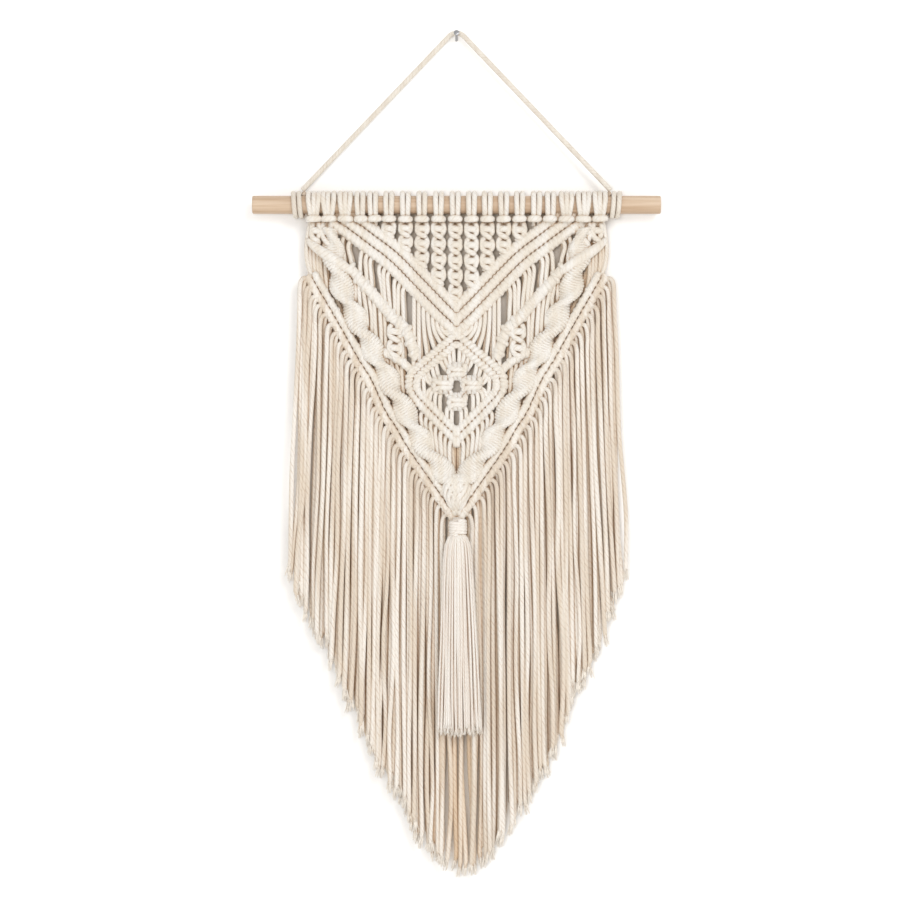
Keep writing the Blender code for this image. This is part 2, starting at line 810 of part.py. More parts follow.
def main():
    for obj in list(bpy.data.objects):
        bpy.data.objects.remove(obj, do_unlink=True)
    parts = new_collection("macrame wall hanging")
    cutters = new_collection("cutters", hidden=True)
    cotton = material("cotton cord", COTTON, 0.9)
    shade = material("cotton cord, fringe", COTTON_SHADE, 0.9)
    wood = material("pale wood", WOOD, 0.6)
    steel = material("nail steel", STEEL, 0.35, 0.9)
    finishes = {
        build_nail(parts): steel,
        build_dowel(parts): wood,
        build_hanger(parts): cotton,
        build_heading(parts, cutters): cotton,
        build_panel(parts, cutters): cotton,
        build_fringe(-1, "left", parts): shade,
        build_fringe(1, "right", parts): shade,
        build_tassel(parts, cutters): cotton,
    }
    for wrap in build_wraps(parts, cutters):
        finishes[wrap] = cotton
    for obj, finish_of in finishes.items():
        obj.data.materials.clear()
        obj.data.materials.append(finish_of)


main()
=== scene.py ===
"""The looks of a knotted cotton wall hanging: its cords, knots, fringe and tassel, its dowel and its nail.

Blender units are metres. Named sizes are millimetres, and place() turns them into metres, except where a
comment says metres. In the tables "out" is the distance from the centre line, "drop" the distance below
the nail's head, and "depth" the distance in front of the wall. A thickness is a share of the cord's. The
wall is the plane Y = 0 and the front faces -Y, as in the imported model.
"""

import math
import random
from collections import namedtuple

import bmesh
import bpy
import numpy as np
from bpy.props import FloatProperty, FloatVectorProperty, IntProperty, PointerProperty
from mathutils import Matrix, Vector


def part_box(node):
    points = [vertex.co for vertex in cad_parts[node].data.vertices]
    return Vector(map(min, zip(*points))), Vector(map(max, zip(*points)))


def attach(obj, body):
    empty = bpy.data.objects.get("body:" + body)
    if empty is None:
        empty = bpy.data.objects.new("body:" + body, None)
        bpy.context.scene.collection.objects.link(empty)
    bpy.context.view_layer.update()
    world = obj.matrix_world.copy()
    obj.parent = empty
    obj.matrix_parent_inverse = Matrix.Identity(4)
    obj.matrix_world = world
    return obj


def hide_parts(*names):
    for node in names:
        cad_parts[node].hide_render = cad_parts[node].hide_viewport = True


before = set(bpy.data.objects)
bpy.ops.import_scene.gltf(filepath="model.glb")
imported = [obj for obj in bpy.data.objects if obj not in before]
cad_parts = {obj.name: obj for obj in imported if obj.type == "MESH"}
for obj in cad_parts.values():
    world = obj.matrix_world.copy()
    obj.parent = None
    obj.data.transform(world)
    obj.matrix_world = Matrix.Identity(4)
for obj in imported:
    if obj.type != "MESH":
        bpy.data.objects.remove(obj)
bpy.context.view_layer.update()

bl_info = {
    "name": "Macrame wall hanging",
    "version": (1, 0, 0),
    "blender": (4, 5, 0),
    "location": "View3D > Sidebar > Wall hanging",
    "description": "Knots a cotton wall hanging on its dowel, and hangs it on its nail",
    "category": "Object",
}

MM = 0.001
LAY = 4.4  # length along a cord from one of its plies to the next
BODY = "root"
SIDES = ((-1, "left"), (1, "right"))
MERGE_DISTANCE = 1e-6
LINE_STEP = 2.0  # length of the pieces that a line of the pattern is drawn in

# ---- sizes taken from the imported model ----

NAIL_ENTRY = 5.9  # drop of the point where the nail enters the wall, which is the origin
DOWEL_LOW, DOWEL_HIGH = (Vector(corner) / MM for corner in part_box("dowel"))
DOWEL_RADIUS = (DOWEL_HIGH.z - DOWEL_LOW.z) / 2
DOWEL_HALF_LENGTH = (DOWEL_HIGH.x - DOWEL_LOW.x) / 2
DOWEL_DROP = NAIL_ENTRY - (DOWEL_HIGH.z + DOWEL_LOW.z) / 2
DOWEL_DEPTH = -(DOWEL_HIGH.y + DOWEL_LOW.y) / 2

# ---- tables of the pattern ----

# The hanging cord's route, the left half: across, drop, depth. The right half mirrors it.
HANGER_CORD = 5.0
HANGER_BEND = 10.0
HANGER_CROWN = -0.8
HANGER_CROWN_DEPTH = 7.0
HANGER_FOOT = (154.0, 157.3, 15.0)
HANGER_STEPS = 9
HANGER_BEND_STEPS = 4
WRAP_OUT = 157.9  # middle of the turns round the dowel
WRAP_PITCH = 5.4
WRAP_TURNS = 2
WRAP_STEPS = 30  # in each turn
WRAP_START = 100  # angle round the dowel, in degrees
WRAP_LIFT = 0.2  # how far they stand off the dowel

DOWEL_SEGMENTS = 64
# The dowel's sanded edge: distance in from its end, and how much smaller its radius is there.
DOWEL_EDGE = ((0.0, 2.0), (0.05, 0.9), (0.3, 0.35), (0.9, 0.06), (2.0, 0.0))
NAIL_SEGMENTS = 32
NAIL_TILT = 18.0  # degrees
NAIL_PROFILE = (  # distance along the nail, radius
    (1.0, 0.0),
    (1.0, 1.3),
    (17.6, 1.3),
    (17.8, 1.9),
    (18.0, 2.6),
    (18.2, 2.8),
    (18.6, 2.8),
    (18.85, 2.5),
    (19.0, 1.6),
    (19.05, 0.0),
)

# Lark's head knots, from left to right: across, then how far each of its cords lies from there.
HEADS = (
    (-142.5, (-5.2, 0.2, 5.0)),
    (-127.5, (-5.4, -0.6, 5.2)),
    (-111.0, (-5.0, 0.0, 5.0)),
    (-95.5, (-3.7, 2.2)),
    (-81.5, (-4.9, 0.9)),
    (-67.5, (-2.9, 2.9)),
    (-51.0, (-2.9, 2.9)),
    (-34.5, (-2.9, 2.9)),
    (-17.9, (-2.9, 2.9)),
    (-1.3, (-2.9, 2.9)),
    (15.0, (-2.9, 2.9)),
    (30.8, (-2.9, 2.9)),
    (47.1, (-2.9, 2.9)),
    (62.9, (-2.9, 2.9)),
    (78.0, (-1.0, 4.8)),
    (93.2, (-2.4, 3.6)),
    (109.8, (-5.0, 0.0, 5.0)),
    (126.8, (-5.2, 0.5, 5.2)),
    (143.1, (-5.0, -0.2, 5.2)),
)
FIRST_COLUMN, LAST_COLUMN = 5, 13  # the knots that a column of square knots hangs from
RAIL_DROP = 186.2
RAIL_DEPTH = 21.4
LARK_CORD_SHARE = 1.14  # thickness of the cords on the dowel, as a share of the cord's
LARK_LIFT = 2.6  # from the dowel's surface to the middle of a cord on it
LARK_ARC = range(-50, 232, 14)  # angles at which a cord goes round the dowel, in degrees
LARK_SPREAD = 70  # the angle over which cords drawn together under the bar part again
# Where a cord comes up from under the bar: drop below it, depth, thickness as a share.
LARK_FOOT = ((7, 13.0, 0.9), (2, 14.0, 0.9))
LARK_RISE = (-2.6, 17.4, 0.92)
LARK_BAR_END = (0.7, 236)  # across as a share of the bar's half width, and the angle round the dowel
# From there to the bar's middle: across as a share, drop, share of the bar's lean, depth, thickness.
LARK_BAR = ((0.9, -0.6, 0.0, 13.5, 1.05), (1.0, 0.0, 0.6, 17.4, 1.3), (0.75, 0.0, 0.5, RAIL_DEPTH, 1.5))
LARK_BAR_MIDDLE = (RAIL_DEPTH + 0.8, 1.6)  # depth, thickness

PANEL_DEPTH = 13.5  # the middle of the hitched rows

# Each hitched bar: its rows, the width of one, the distance between hitches, how far they stand out of
# that width, how much they swell and shrink along the row, and the bar's line as (out, drop). A line that
# reaches the centre runs on past it, and its rows are cut there.
Bar = namedtuple("Bar", ("rows", "width", "pitch", "proud", "bulge", "line"))
MAIN_V = Bar(
    rows=3,
    width=10.0,
    pitch=5.3,
    proud=0.6,
    bulge=0.1,
    line=((121, 180), (106, 191), (84, 207.5), (61.5, 225), (34, 253), (12.5, 275.2), (0, 287), (-14, 300)),
)
LONG_CHAIN = Bar(
    rows=1,
    width=11.8,
    pitch=5.6,
    proud=0.5,
    bulge=1.6,
    line=((108, 234), (92, 252), (78.5, 267), (62.5, 286), (50.5, 297), (40, 326)),
)
SHORT_CHAIN = Bar(
    rows=1,
    width=9.0,
    pitch=5.2,
    proud=0.5,
    bulge=0.6,
    line=((73, 319), (62.7, 324), (50, 332.5), (44, 340)),
)
DIAMOND_TOP = Bar(
    rows=2,
    width=7.4,
    pitch=4.8,
    proud=1.1,
    bulge=0.1,
    line=((-14, 294), (0, 305.5), (20, 322.5), (38.5, 338.5), (43.0, 344.5), (43.8, 352)),
)
DIAMOND_FOOT = Bar(
    rows=2,
    width=7.4,
    pitch=4.8,
    proud=0.8,
    bulge=0.2,
    line=((43.8, 350), (43.0, 357), (38.5, 364), (20, 383.5), (0, 403.5), (-12, 415.5)),
)
# From a bar's or band's line to the edge where single cords meet it.
V_EDGE = 14.4
BAND_EDGE = -7.0
DIAMOND_EDGE = 6.4
FOOT_EDGE = 6.6

# The outer V, as the line between its two rows.
OUTER_V = (
    (146, 241),
    (140, 252.5),
    (128, 273),
    (112.5, 300),
    (98, 326),
    (84.5, 348),
    (71, 378),
    (60, 395),
    (48.5, 415),
    (27, 446),
    (4.5, 477.5),
    (-6, 492),
)
OUTER_ROW = 7.8
OUTER_HITCHES = (OUTER_ROW, 5.8, 0.55, 0.35)  # a row's width, pitch, proud and bulge, as above

TWIST_LINE = (
    (125, 196),
    (124, 213),
    (122, 228),
    (115.5, 252),
    (98, 290),
    (82, 321),
    (66, 351),
    (48, 385),
    (31, 415),
    (14, 438),
    (2, 447),
)
TWIST_DEPTH = 14.6
TWIST_FLAT = 0.68  # its thickness, as a share of its width
TWIST_FIRST = (115.5, 254)  # middle of the first lobe
TWIST_LOBE = 34.8  # length of half a turn
TWIST_HALF_WIDTH = 10.7
TWIST_HALF_THICK = 4.3
TWIST_PITCH = 2.7  # between half knots
TWIST_LOOP = 2.0  # radius of the cord in a half knot
TWIST_LOOP_LEAN = 1.4  # how far a half knot leans along the band
TWIST_FULLNESS = 0.62  # the lower, the fuller a half knot's loop
TWIST_INSIDE = (-0.6, 0.0, 0.6)  # where the cords inside lie, as shares of the half width
# The cord that comes in from the side over the band's first lobe: out, drop, depth, thickness.
FIRST_RIDGE = (
    (149.0, 206, 14.0, 1.0),
    (144.0, 212, 16.6, 1.8),
    (134.0, 219.5, 18.6, 2.3),
    (123.0, 226.5, 19.6, 2.45),
    (112.5, 233.5, 18.8, 2.2),
    (105.0, 239, 16.6, 1.6),
    (101.5, 242, 14.0, 0.9),
)

# Cords that hang from the V to the long chain: out at the top, out at the bottom, depth.
V_CORDS = (
    (113.6, 111.5, 12.4),
    (107.6, 104.5, 13.0),
    (95.0, 96.4, 13.0),
    (90.2, 89.6, 13.8),
    (85.8, 84.6, 12.8),
    (76.8, 73.6, 12.6),
    (72.4, 71.0, 13.8),
    (68.4, 65.8, 13.0),
    (61.6, 62.0, 12.6),
    (57.4, 58.4, 12.8),
    (53.2, 52.8, 13.4),
)
# Cords from the long chain to the twisted band.
CHAIN_CORDS = (
    (101.5, 101.0, 11.0),
    (96.5, 96.0, 12.5),
    (92.0, 89.6, 13.0),
    (86.6, 84.6, 12.0),
    (81.4, 80.5, 13.2),
    (75.8, 75.5, 12.5),
    (71.2, 71.0, 11.6),
)
# How far the second layer lies to the side of the cords under the V, the chain and the diamond, and
# behind them.
BACK_CORD_SHIFTS = (1.4, 2.8, 2.8)
BACK_CORD_DEPTH = 4.4
# Cords from the long chain to the short one, and from the short one to the twisted band: how far out they
# are, then how far in each layer is moved at the top and at the bottom, and its depth.
SHORT_CHAIN_CORDS = ((54.2,), ((0.0, 0.5, 12.6), (2.4, 2.6, 8.6)))
SHORT_CHAIN_ENDS = ((70.0, 64.5, 59.0, 54.2), ((0.0, 1.0, 11.0), (2.4, 2.6, 7.4)))
# Cords from the diamond's foot to the twisted band.
FOOT_CORDS = (
    (35.0, 33.0, 11.4),
    (30.2, 28.6, 12.4),
    (25.5, 23.8, 13.0),
    (20.6, 19.0, 12.2),
    (15.6, 14.6, 13.0),
    (10.9, 11.0, 12.0),
    (6.2, 6.6, 13.2),
)
# The cord in the shade behind the gap under the diamond.
BEHIND_FOOT = ((2.3, 408, 8.4), (2.3, 430, 7.0), (2.3, 454, 8.4))
# These cords fill the gaps beside the bands, and the painted depth shade of their finish makes them tan.
# Cords in the shade behind the twisted bands' outer edges: how far each lies from the band's line, their
# depth, and the drop between which they lie.
BEHIND_BANDS = (5.6, 10.2)
BEHIND_BANDS_DEPTH = 6.0
BEHIND_BANDS_DROP = (238, 446)
# Cords fanned from under the V's point to the diamond: out at the top, and how far each is drawn in.
FAN_CORDS = (
    (42.4, -0.6),
    (37.8, 0.6),
    (33.2, 4.2),
    (28.6, 7.0),
    (24.0, 8.6),
    (19.6, 9.0),
    (15.2, 8.6),
    (10.8, 6.6),
    (6.2, 4.2),
)
FAN_LAYERS = ((0.0, 13.4), (2.3, 9.6))  # how far in each layer is moved, and its depth
# The bow of such a cord: its share of the way in and of the fall, then across, down and forward.
FAN_BOW = (
    (0.0, 0.0, -0.8, -4, -2.5),
    (0.0, 0.0, 0.0, 1, 0.0),
    (0.06, 0.3, 0.0, 0, 0.6),
    (0.3, 0.6, 0.0, 0, 0.6),
    (0.68, 0.86, 0.0, 0, 0.2),
    (1.0, 1.0, 0.0, 1, -0.8),
    (1.0, 1.0, -1.5, 6, -3.5),
)
# The two ends of a hung cord, from the lines that it hangs between: across, down and forward.
HUNG_START = ((-2.4, -3, -2.4), (-0.4, 2, 0.4), (0.8, 7, 0.4))
HUNG_END = ((0.0, -2, 0.0), (-0.5, 3, -3.0))
HUNG_MIDDLE = (0.6, 0.6)  # share of the fall, forward
SINGLE_CORD_SHARE = 0.96  # thickness, as a share of the cord's

# Bent cords inside the diamond, each as points of (out, drop, depth).
DIAMOND_CORDS = (
    ((3.4, 311, 11.0), (3.0, 321, 13.8), (2.2, 334, 13.6)),
    ((8.0, 314, 11.0), (7.4, 323, 14.0), (4.8, 335, 13.8)),
    ((12.4, 318, 11.0), (11.6, 326, 13.8), (7.6, 336, 13.4)),
    ((16.6, 321, 11.0), (15.0, 330, 13.6), (9.4, 339, 12.6)),
    ((20.8, 325, 11.0), (19.8, 335, 13.6), (16.8, 347, 13.4)),
    ((25.0, 329, 11.0), (23.8, 338, 13.6), (20.2, 349, 13.0)),
    ((29.2, 332, 11.0), (28.2, 342, 13.4), (22.8, 351, 12.4)),
    ((33.0, 336, 11.0), (32.8, 352, 13.6), (30.4, 373, 11.4)),
    ((37.2, 341, 11.0), (37.8, 352, 13.2), (35.6, 365, 11.0)),
    ((31.4, 334, 11.0), (30.6, 345, 13.2), (26.4, 350.4, 13.4), (22.6, 352.4, 12.2)),
    ((22.8, 354.2, 12.6), (27.8, 357.6, 14.0), (30.8, 366.0, 13.4), (30.6, 375, 11.0)),
    ((6.4, 343, 13.0), (10.2, 344.6, 14.8), (13.6, 348, 13.4)),
    ((1.4, 342.6, 14.0), (4.6, 347.4, 15.2), (7.4, 352.0, 14.2)),
    ((7.4, 355.4, 14.0), (5.2, 360.4, 15.2), (2.6, 365.0, 14.2)),
    ((12.4, 357, 13.0), (9.8, 361.6, 14.8), (6.0, 365.6, 13.4)),
    ((20.4, 356, 13.0), (25.0, 359.6, 14.4), (26.8, 368, 13.6), (26.2, 380, 11.0)),
    ((17.6, 357, 13.2), (20.8, 361.4, 14.8), (21.8, 370, 13.8), (21.2, 385, 11.0)),
    ((14.6, 358, 13.2), (16.2, 363.0, 14.8), (16.6, 372, 13.8), (16.0, 390, 11.0)),
    ((7.2, 373, 13.0), (9.4, 376.6, 14.8), (9.8, 384, 13.8), (9.0, 395, 11.0)),
    ((3.0, 374, 13.2), (4.4, 378.4, 14.8), (4.8, 386, 13.8), (4.4, 400, 11.0)),
)
# Square knots inside the diamond: across, drop, half width, height.
DIAMOND_KNOTS = (
    (0.6, 338.8, 7.6, 13.6),
    (-13.8, 352.2, 8.2, 13.6),
    (15.0, 352.2, 8.2, 13.6),
    (0.8, 369.2, 7.6, 13.2),
)
# Short columns of square knots over the twisted bands and beside the diamond: out, drop of the top and the
# bottom, and their width as a share of a long column's.
SIDE_COLUMNS = ((140.8, 189.5, 210.0, 0.8), (129.6, 189.5, 213.0, 0.8), (61.5, 292.0, 325.0, 1.12))
# Cords in the shade beside the twisted bands: out, and the drop where each starts and ends.
SHADED_CORDS = (
    (146.2, 205, 248),
    (142.6, 206, 252),
    (139.0, 208, 256),
    (135.2, 210, 262),
    (131.4, 214, 266),
)
SHADED_BACK = (1.9, 3.6)  # how far the second layer of them lies inwards and behind
# The cord that loops out at the panel's edge.
EDGE_LOOP = (
    (146.0, 188, 13.0),
    (148.0, 198, 13.4),
    (149.8, 210, 12.6),
    (150.0, 222, 12.0),
    (148.0, 234, 12.0),
    (143.6, 245, 12.0),
)

# The carrying cords and their hitches.
HITCH_STEPS = 10
HITCH_SHARE = 1.18  # thickness of a drawn-up hitch, as a share of the cord's
HITCH_SUNK = 0.25  # how far the bundle inside stays within it
HITCH_LEAN = 1.5
HITCH_START = 2.6  # distance along a row to its first hitch
HITCH_WANDER = 0.15  # how far a hitch may lie off its place
SWELL_RUN = 10.5  # distance along a row from one swelling to the next
CORE_STEP = 3
CORE_END = (0.7, 8)  # thickness of the bundle's ends, as a share, and how slowly it grows from there
CENTRE_CUT = -2.2  # rows run this far past the centre line

# One flat square knot's two working cords: across as a share of the half width, down as a share of the
# height, and forward in millimetres.
FRONT_CORD = (
    (-0.8, -0.04, -1.4),
    (-1.0, 0.12, 0.8),
    (-0.62, 0.28, 2.8),
    (0.0, 0.35, 3.6),
    (0.62, 0.34, 2.8),
    (1.0, 0.42, 0.6),
    (0.96, 0.52, -1.2),
    (1.0, 0.62, 0.6),
    (0.62, 0.7, 2.8),
    (0.0, 0.67, 3.6),
    (-0.62, 0.73, 2.8),
    (-1.0, 0.86, 0.8),
    (-0.8, 1.04, -1.4),
)
BACK_CORD = (
    (0.96, 0.0, 2.2),
    (1.06, 0.16, 3.0),
    (0.9, 0.36, 0.0),
    (0.0, 0.43, -2.4),
    (-0.9, 0.42, 0.0),
    (-1.1, 0.52, 3.0),
    (-0.9, 0.62, 0.0),
    (0.0, 0.74, -2.4),
    (0.9, 0.82, 0.0),
)
KNOT_SHARE = 1.22  # thickness of its cords, as a share of the cord's
KNOT_FORWARD = 1.4  # how far it lies in front of the panel's middle
KNOT_CORES = (-0.3, 0.3)  # its straight cords: across as a share of the half width
KNOT_CORE_FORWARD = 1.2
# A column's working cord over one knot: across, down as a share of the knot, forward where it crosses in
# front, and forward where it crosses behind.
COLUMN_PITCH = 16.4
COLUMN_CORD = (
    (3.3, 0.02, 0.8, 0.4),
    (4.7, 0.17, 2.0, 1.6),
    (5.0, 0.4, 2.4, 2.2),
    (4.4, 0.62, 2.2, 1.8),
    (2.0, 0.79, 3.2, -0.4),
    (-1.8, 0.91, 3.0, -0.6),
)
COLUMN_SHARE = 1.24  # thickness of a column's working cords, as a share of the cord's
COLUMN_WANDER = (0.4, 0.5)  # how far they may lie off their place, across and down
COLUMN_BAR = ((-4.8, 1.2), (-2.2, 3.6), (2.2, 3.6), (4.8, 1.2))  # across, forward
COLUMN_BAR_DROP = 0.4  # share of a knot's height at which its bar crosses
COLUMN_BAR_SLOPE = 0.12
COLUMN_BAR_LEAN = 0.6  # how much higher one end may be than the middle
COLUMN_BAR_SHARE = 1.5
COLUMN_HALF = 5  # half a column's width, to the ends of its bars
COLUMN_CORES = (-1.5, 1.5)  # its straight cords: across
COLUMN_CORE = (-1.8, 0.9)  # forward, thickness as a share
COLUMN_RUN = 3  # how far they run on past the column's ends
COLUMN_START = 3.6  # from the middle of the rail to a column's top
COLUMN_SINK = 3  # how far its foot goes into the V

TWIST_STEPS = 14
LARK_BAR_HALF = {2: 4.7, 3: 5.6}  # half the width of the bar over two or three cords
LARK_PINCH = {2: 0.84, 3: 0.62}  # how far two or three cords are drawn together where the bar holds them

BERRY_DROP = 456.4
BERRY_HALF = (12.4, 6.4, 14.2)  # half its width, depth and height, to the middle of its cords
BERRY_DEPTH = 16.0
BERRY_CORDS = 11
BERRY_STEPS = 8
BERRY_FULLNESS = 0.7
BERRY_TWIST = 1.5  # how far its cords turn round it, in radians
BERRY_BALL = ((-12, 3.0), (-8, 6.5), (0, 8.4), (8, 6.5), (12, 3.0))  # drop from its middle, radius
# The cords that cross its front: drop from its middle and depth of each, then its points as (out, drop,
# forward, and how much further forward one side's is than the other's).
BERRY_RIDGES = ((-4.5, 21.6), (1.5, 22.6), (7.0, 21.4))
BERRY_RIDGE = ((9.6, -5.5, -4.4, 0.0), (5.4, -2.6, -0.6, 0.0), (0.6, 0.6, 0.0, 0.3), (-3.4, 2.8, -1.6, 0.0))
# The cords that leave it: how far out each is in its fall, and where it bends out at the knot.
BERRY_LEGS = ((7.6, 9.4), (3.0, 4.2))

# ---- fringe ----

# Each layer of a side: how many cords, how far it lies in front of the row, how far it is shifted
# inwards, and its cords' thickness as a share of the front ones'.
FRINGE_LAYERS = ((27, 3.4, 0.0, 1.0), (27, -0.4, 2.6, 1.1), (26, -4.2, 5.2, 1.5))
CLUMP_WIDTH = 15.0  # the cords draw together in bunches about this wide
CLUMP_PULL = 1.3
FRINGE_TOP_OUT = 154.0
FRINGE_REACH = 8.8  # how far a cord stands out from its knot
FRINGE_SPLAY = 9.5
STRIP_END_OUT = 1.2
BEHIND_TASSEL_OUT = 34.0  # nearer the centre than this, the fringe lies behind the tassel
BEHIND_TASSEL_RUN = 12.0  # over this distance it moves back
BEHIND_TASSEL_SHARE = 0.55  # and by this share of its distance from the depth below
BEHIND_TASSEL_DEPTH = 6.4
CUT_SPREAD = 15.0  # how much shorter than its neighbours a cord may be cut
FRINGE_ARCH = 30  # below the row, where a cord's arch has turned into its fall
FRINGE_STEP = 45  # between the points of its fall
FRINGE_DRIFT = 2.6  # how far aside it may end
FRINGE_PACES = (3, 11)  # radians of its sway from its knot to its end
FRINGE_SWINGS = (0.5, 2.4)  # how far it sways
FRINGE_FRAY = (18, 1.2, 12)  # fibres at a cut end, how far they spread, their length
FRINGE_FIBRE = 0.5  # radius
# Where the cut ends lie, as (out, drop) from the outermost cord to the centre.
TIPS = {
    -1: (
        *((166, 545), (156, 570), (138, 606), (126, 622), (111, 662)),
        *((86, 717), (61, 762), (36, 806), (0, 842)),
    ),
    1: (
        *((170, 541), (156, 571), (143, 611), (133, 642), (113, 672)),
        *((103, 710), (68, 772), (33, 822), (0, 842)),
    ),
}

# ---- tassel ----

TASSEL_DEPTH = 22.0
TASSEL_SHIFT = 1.4  # to the right of the centre line
TASSEL_WRAP = (487.4, 501.6)  # drop of its first and last turn
TASSEL_TURNS = 5
TASSEL_TURN_STEPS = 16
TASSEL_HEAD = (7.0, 5.6)  # half its width and depth, to the middle of the turns
TASSEL_HEAD_BULGE = 0.08
TASSEL_TURN = 2.0  # radius of the cord that binds it
TASSEL_NECKS = 8  # cords under the turns
TASSEL_THREADS = 110
TASSEL_GOLDEN = 0.381966  # of a turn from each thread to the next, which spreads them evenly
TASSEL_FRAY = (2, 1.6, 7)  # as for the fringe
TASSEL_FIBRE = 0.4  # radius
TASSEL_TIP = 702.0
# The skirt: drop, half its width, half its depth, and how far it leans to the right.
TASSEL_SKIRT = (
    (500.0, 5.4, 4.4, 0.0),
    (504.5, 9.4, 6.0, 0.0),
    (512.0, 12.6, 6.6, 0.1),
    (525.0, 14.2, 6.4, 0.2),
    (560.0, 16.2, 6.2, 0.6),
    (610.0, 18.4, 6.2, 1.2),
    (655.0, 20.2, 6.2, 1.8),
)
TASSEL_TIP_HALF = (21.6, 6.2, 2.2)


# ---- shared helpers ----


def place(across, drop, depth, share=1.0):
    """A point this many millimetres to the right, below the nail's head and off the wall, with the cord's
    thickness there as a share in its fourth value."""
    return Vector((across, -depth, NAIL_ENTRY - drop, share)) * MM


def smooth(points, step, ring=False):
    """A smooth line through the points, in pieces about a step long. It takes points of any dimension."""
    points = [Vector(p) for p in points]
    count = len(points)
    line = []
    for i in range(count if ring else count - 1):
        if ring:
            before, start, end, after = (points[(i + k) % count] for k in (-1, 0, 1, 2))
        else:
            before, start = points[max(i - 1, 0)], points[i]
            end, after = points[i + 1], points[min(i + 2, count - 1)]
        pieces = max(1, round((end - start).length / step))
        for k in range(pieces):
            t = k / pieces
            line.append(
                0.5
                * (
                    2 * start
                    + (end - before) * t
                    + (2 * before - 5 * start + 4 * end - after) * t**2
                    + (3 * start - before - 3 * end + after) * t**3
                )
            )
    if not ring:
        line.append(points[-1])
    return line


def lengths(line):
    total = [0.0]
    for a, b in zip(line, line[1:]):
        total.append(total[-1] + (b - a).length)
    return total


def at_length(line, marks, distance):
    """The point at this distance along the line, and the line's direction there."""
    distance = min(max(distance, 0.0), marks[-1])
    i = next((k for k in range(1, len(marks)) if marks[k] >= distance), len(marks) - 1)
    share = (distance - marks[i - 1]) / max(marks[i] - marks[i - 1], 1e-9)
    near, far = line[max(i - 2, 0)], line[min(i + 1, len(line) - 1)]
    return line[i - 1].lerp(line[i], share), (far - near).normalized()


def sideways(along):
    return Vector((along.y, -along.x))


def astray(rng, reach):
    """A distance of up to this much either way."""
    return rng.uniform(-reach, reach)


def offset_line(line, distance):
    """The line moved sideways, away from the centre line where the distance is positive."""
    moved = []
    for i, point in enumerate(line):
        along = (line[min(i + 1, len(line) - 1)] - line[max(i - 1, 0)]).normalized()
        moved.append(point + sideways(along) * distance)
    return moved


def level(line, out):
    """The drop at which a line of (out, drop) points passes this distance from the centre line."""
    for a, b in zip(line, line[1:]):
        if min(a.x, b.x) <= out <= max(a.x, b.x) and a.x != b.x:
            return a.lerp(b, (out - a.x) / (b.x - a.x)).y
    return min(line, key=lambda p: abs(p.x - out)).y


def open_route(points, step):
    """A smooth route through the points, in pieces about a step of this many millimetres long."""
    return smooth(points, step * MM), False


def run_of(route):
    """The length of a route, in metres."""
    points, ring = route
    line = [p.to_3d() for p in points]
    return lengths(line + line[:1] if ring else line)[-1]


def swept(name, routes, radius, sides=8):
    """A mesh of round cords along the routes, with a map that runs round each and along it in turns of its
    lay. A route is its points and whether it is a closed ring."""
    curve = bpy.data.curves.new(name, "CURVE")
    curve.dimensions = "3D"
    curve.bevel_depth = radius * MM
    curve.bevel_resolution = sides // 2 - 2
    curve.use_fill_caps = True
    for points, ring in routes:
        spline = curve.splines.new("POLY")
        spline.points.add(len(points) - 1)
        spline.points.foreach_set("co", [value for p in points for value in (p[0], p[1], p[2], 1.0)])
        spline.points.foreach_set("radius", [p[3] / MM for p in points])
        spline.use_cyclic_u = ring
    carrier = bpy.data.objects.new(name, curve)
    bpy.context.scene.collection.objects.link(carrier)
    graph = bpy.context.evaluated_depsgraph_get()
    mesh = bpy.data.meshes.new_from_object(carrier.evaluated_get(graph), depsgraph=graph)
    bpy.data.objects.remove(carrier)
    bpy.data.curves.remove(curve)
    mesh.name = name
    corners = [4 * sides * (len(points) - (0 if ring else 1)) for points, ring in routes]
    around = np.empty(2 * len(mesh.loops), dtype=np.float32)
    mesh.uv_layers[0].data.foreach_get("uv", around)
    around = around.reshape(-1, 2)
    start = len(around) - sum(corners)
    for route, count in zip(routes, corners):
        around[start : start + count, 0] *= run_of(route) / (LAY * MM)
        start += count
    mesh.uv_layers[0].data.foreach_set("uv", around.ravel())
    return mesh


def joined(name, meshes):
    """One mesh from several, with the points that lie together merged."""
    built = bmesh.new()
    for mesh in meshes:
        built.from_mesh(mesh)
        bpy.data.meshes.remove(mesh)
    bmesh.ops.remove_doubles(built, verts=built.verts, dist=MERGE_DISTANCE)
    made = bpy.data.meshes.new(name)
    built.to_mesh(made)
    built.free()
    return made


def piece(name, mesh, finish, slot, *nodes):
    """Puts a mesh in the scene as a piece of the object."""
    mesh.materials.clear()
    mesh.materials.append(finish)
    mesh.polygons.foreach_set("material_index", [0] * len(mesh.polygons))
    mesh.polygons.foreach_set("use_smooth", [True] * len(mesh.polygons))
    obj = bpy.data.objects.new(name, mesh)
    bpy.context.scene.collection.objects.link(obj)
    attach(obj, BODY)
    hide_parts(*nodes)
    return obj


def panel_piece(name, mesh):
    """Puts a knotted piece of the panel in the scene."""
    return piece(name, mesh, finish_of("cotton cord"), "cotton_cord", "macrame_panel")


# ---- materials ----

WHITE = (1.0, 1.0, 1.0)
# Painted shade: tints multiplied into the colour of what gets less light, since light that has passed
# from cord to cord grows warmer.
PAINTED_INNER_SHADE = (0.87, 0.74, 0.60)  # halfway between the front cords and the hindmost
INNER_SHADE_SHARE = 0.55
PAINTED_BACK_SHADE = (0.93, 0.88, 0.82)  # the hindmost cords
PAINTED_HOLLOW_SHADE = (0.80, 0.58, 0.38)
PAINTED_SEAM_SHADE = (0.66, 0.53, 0.41)  # between a cord's plies
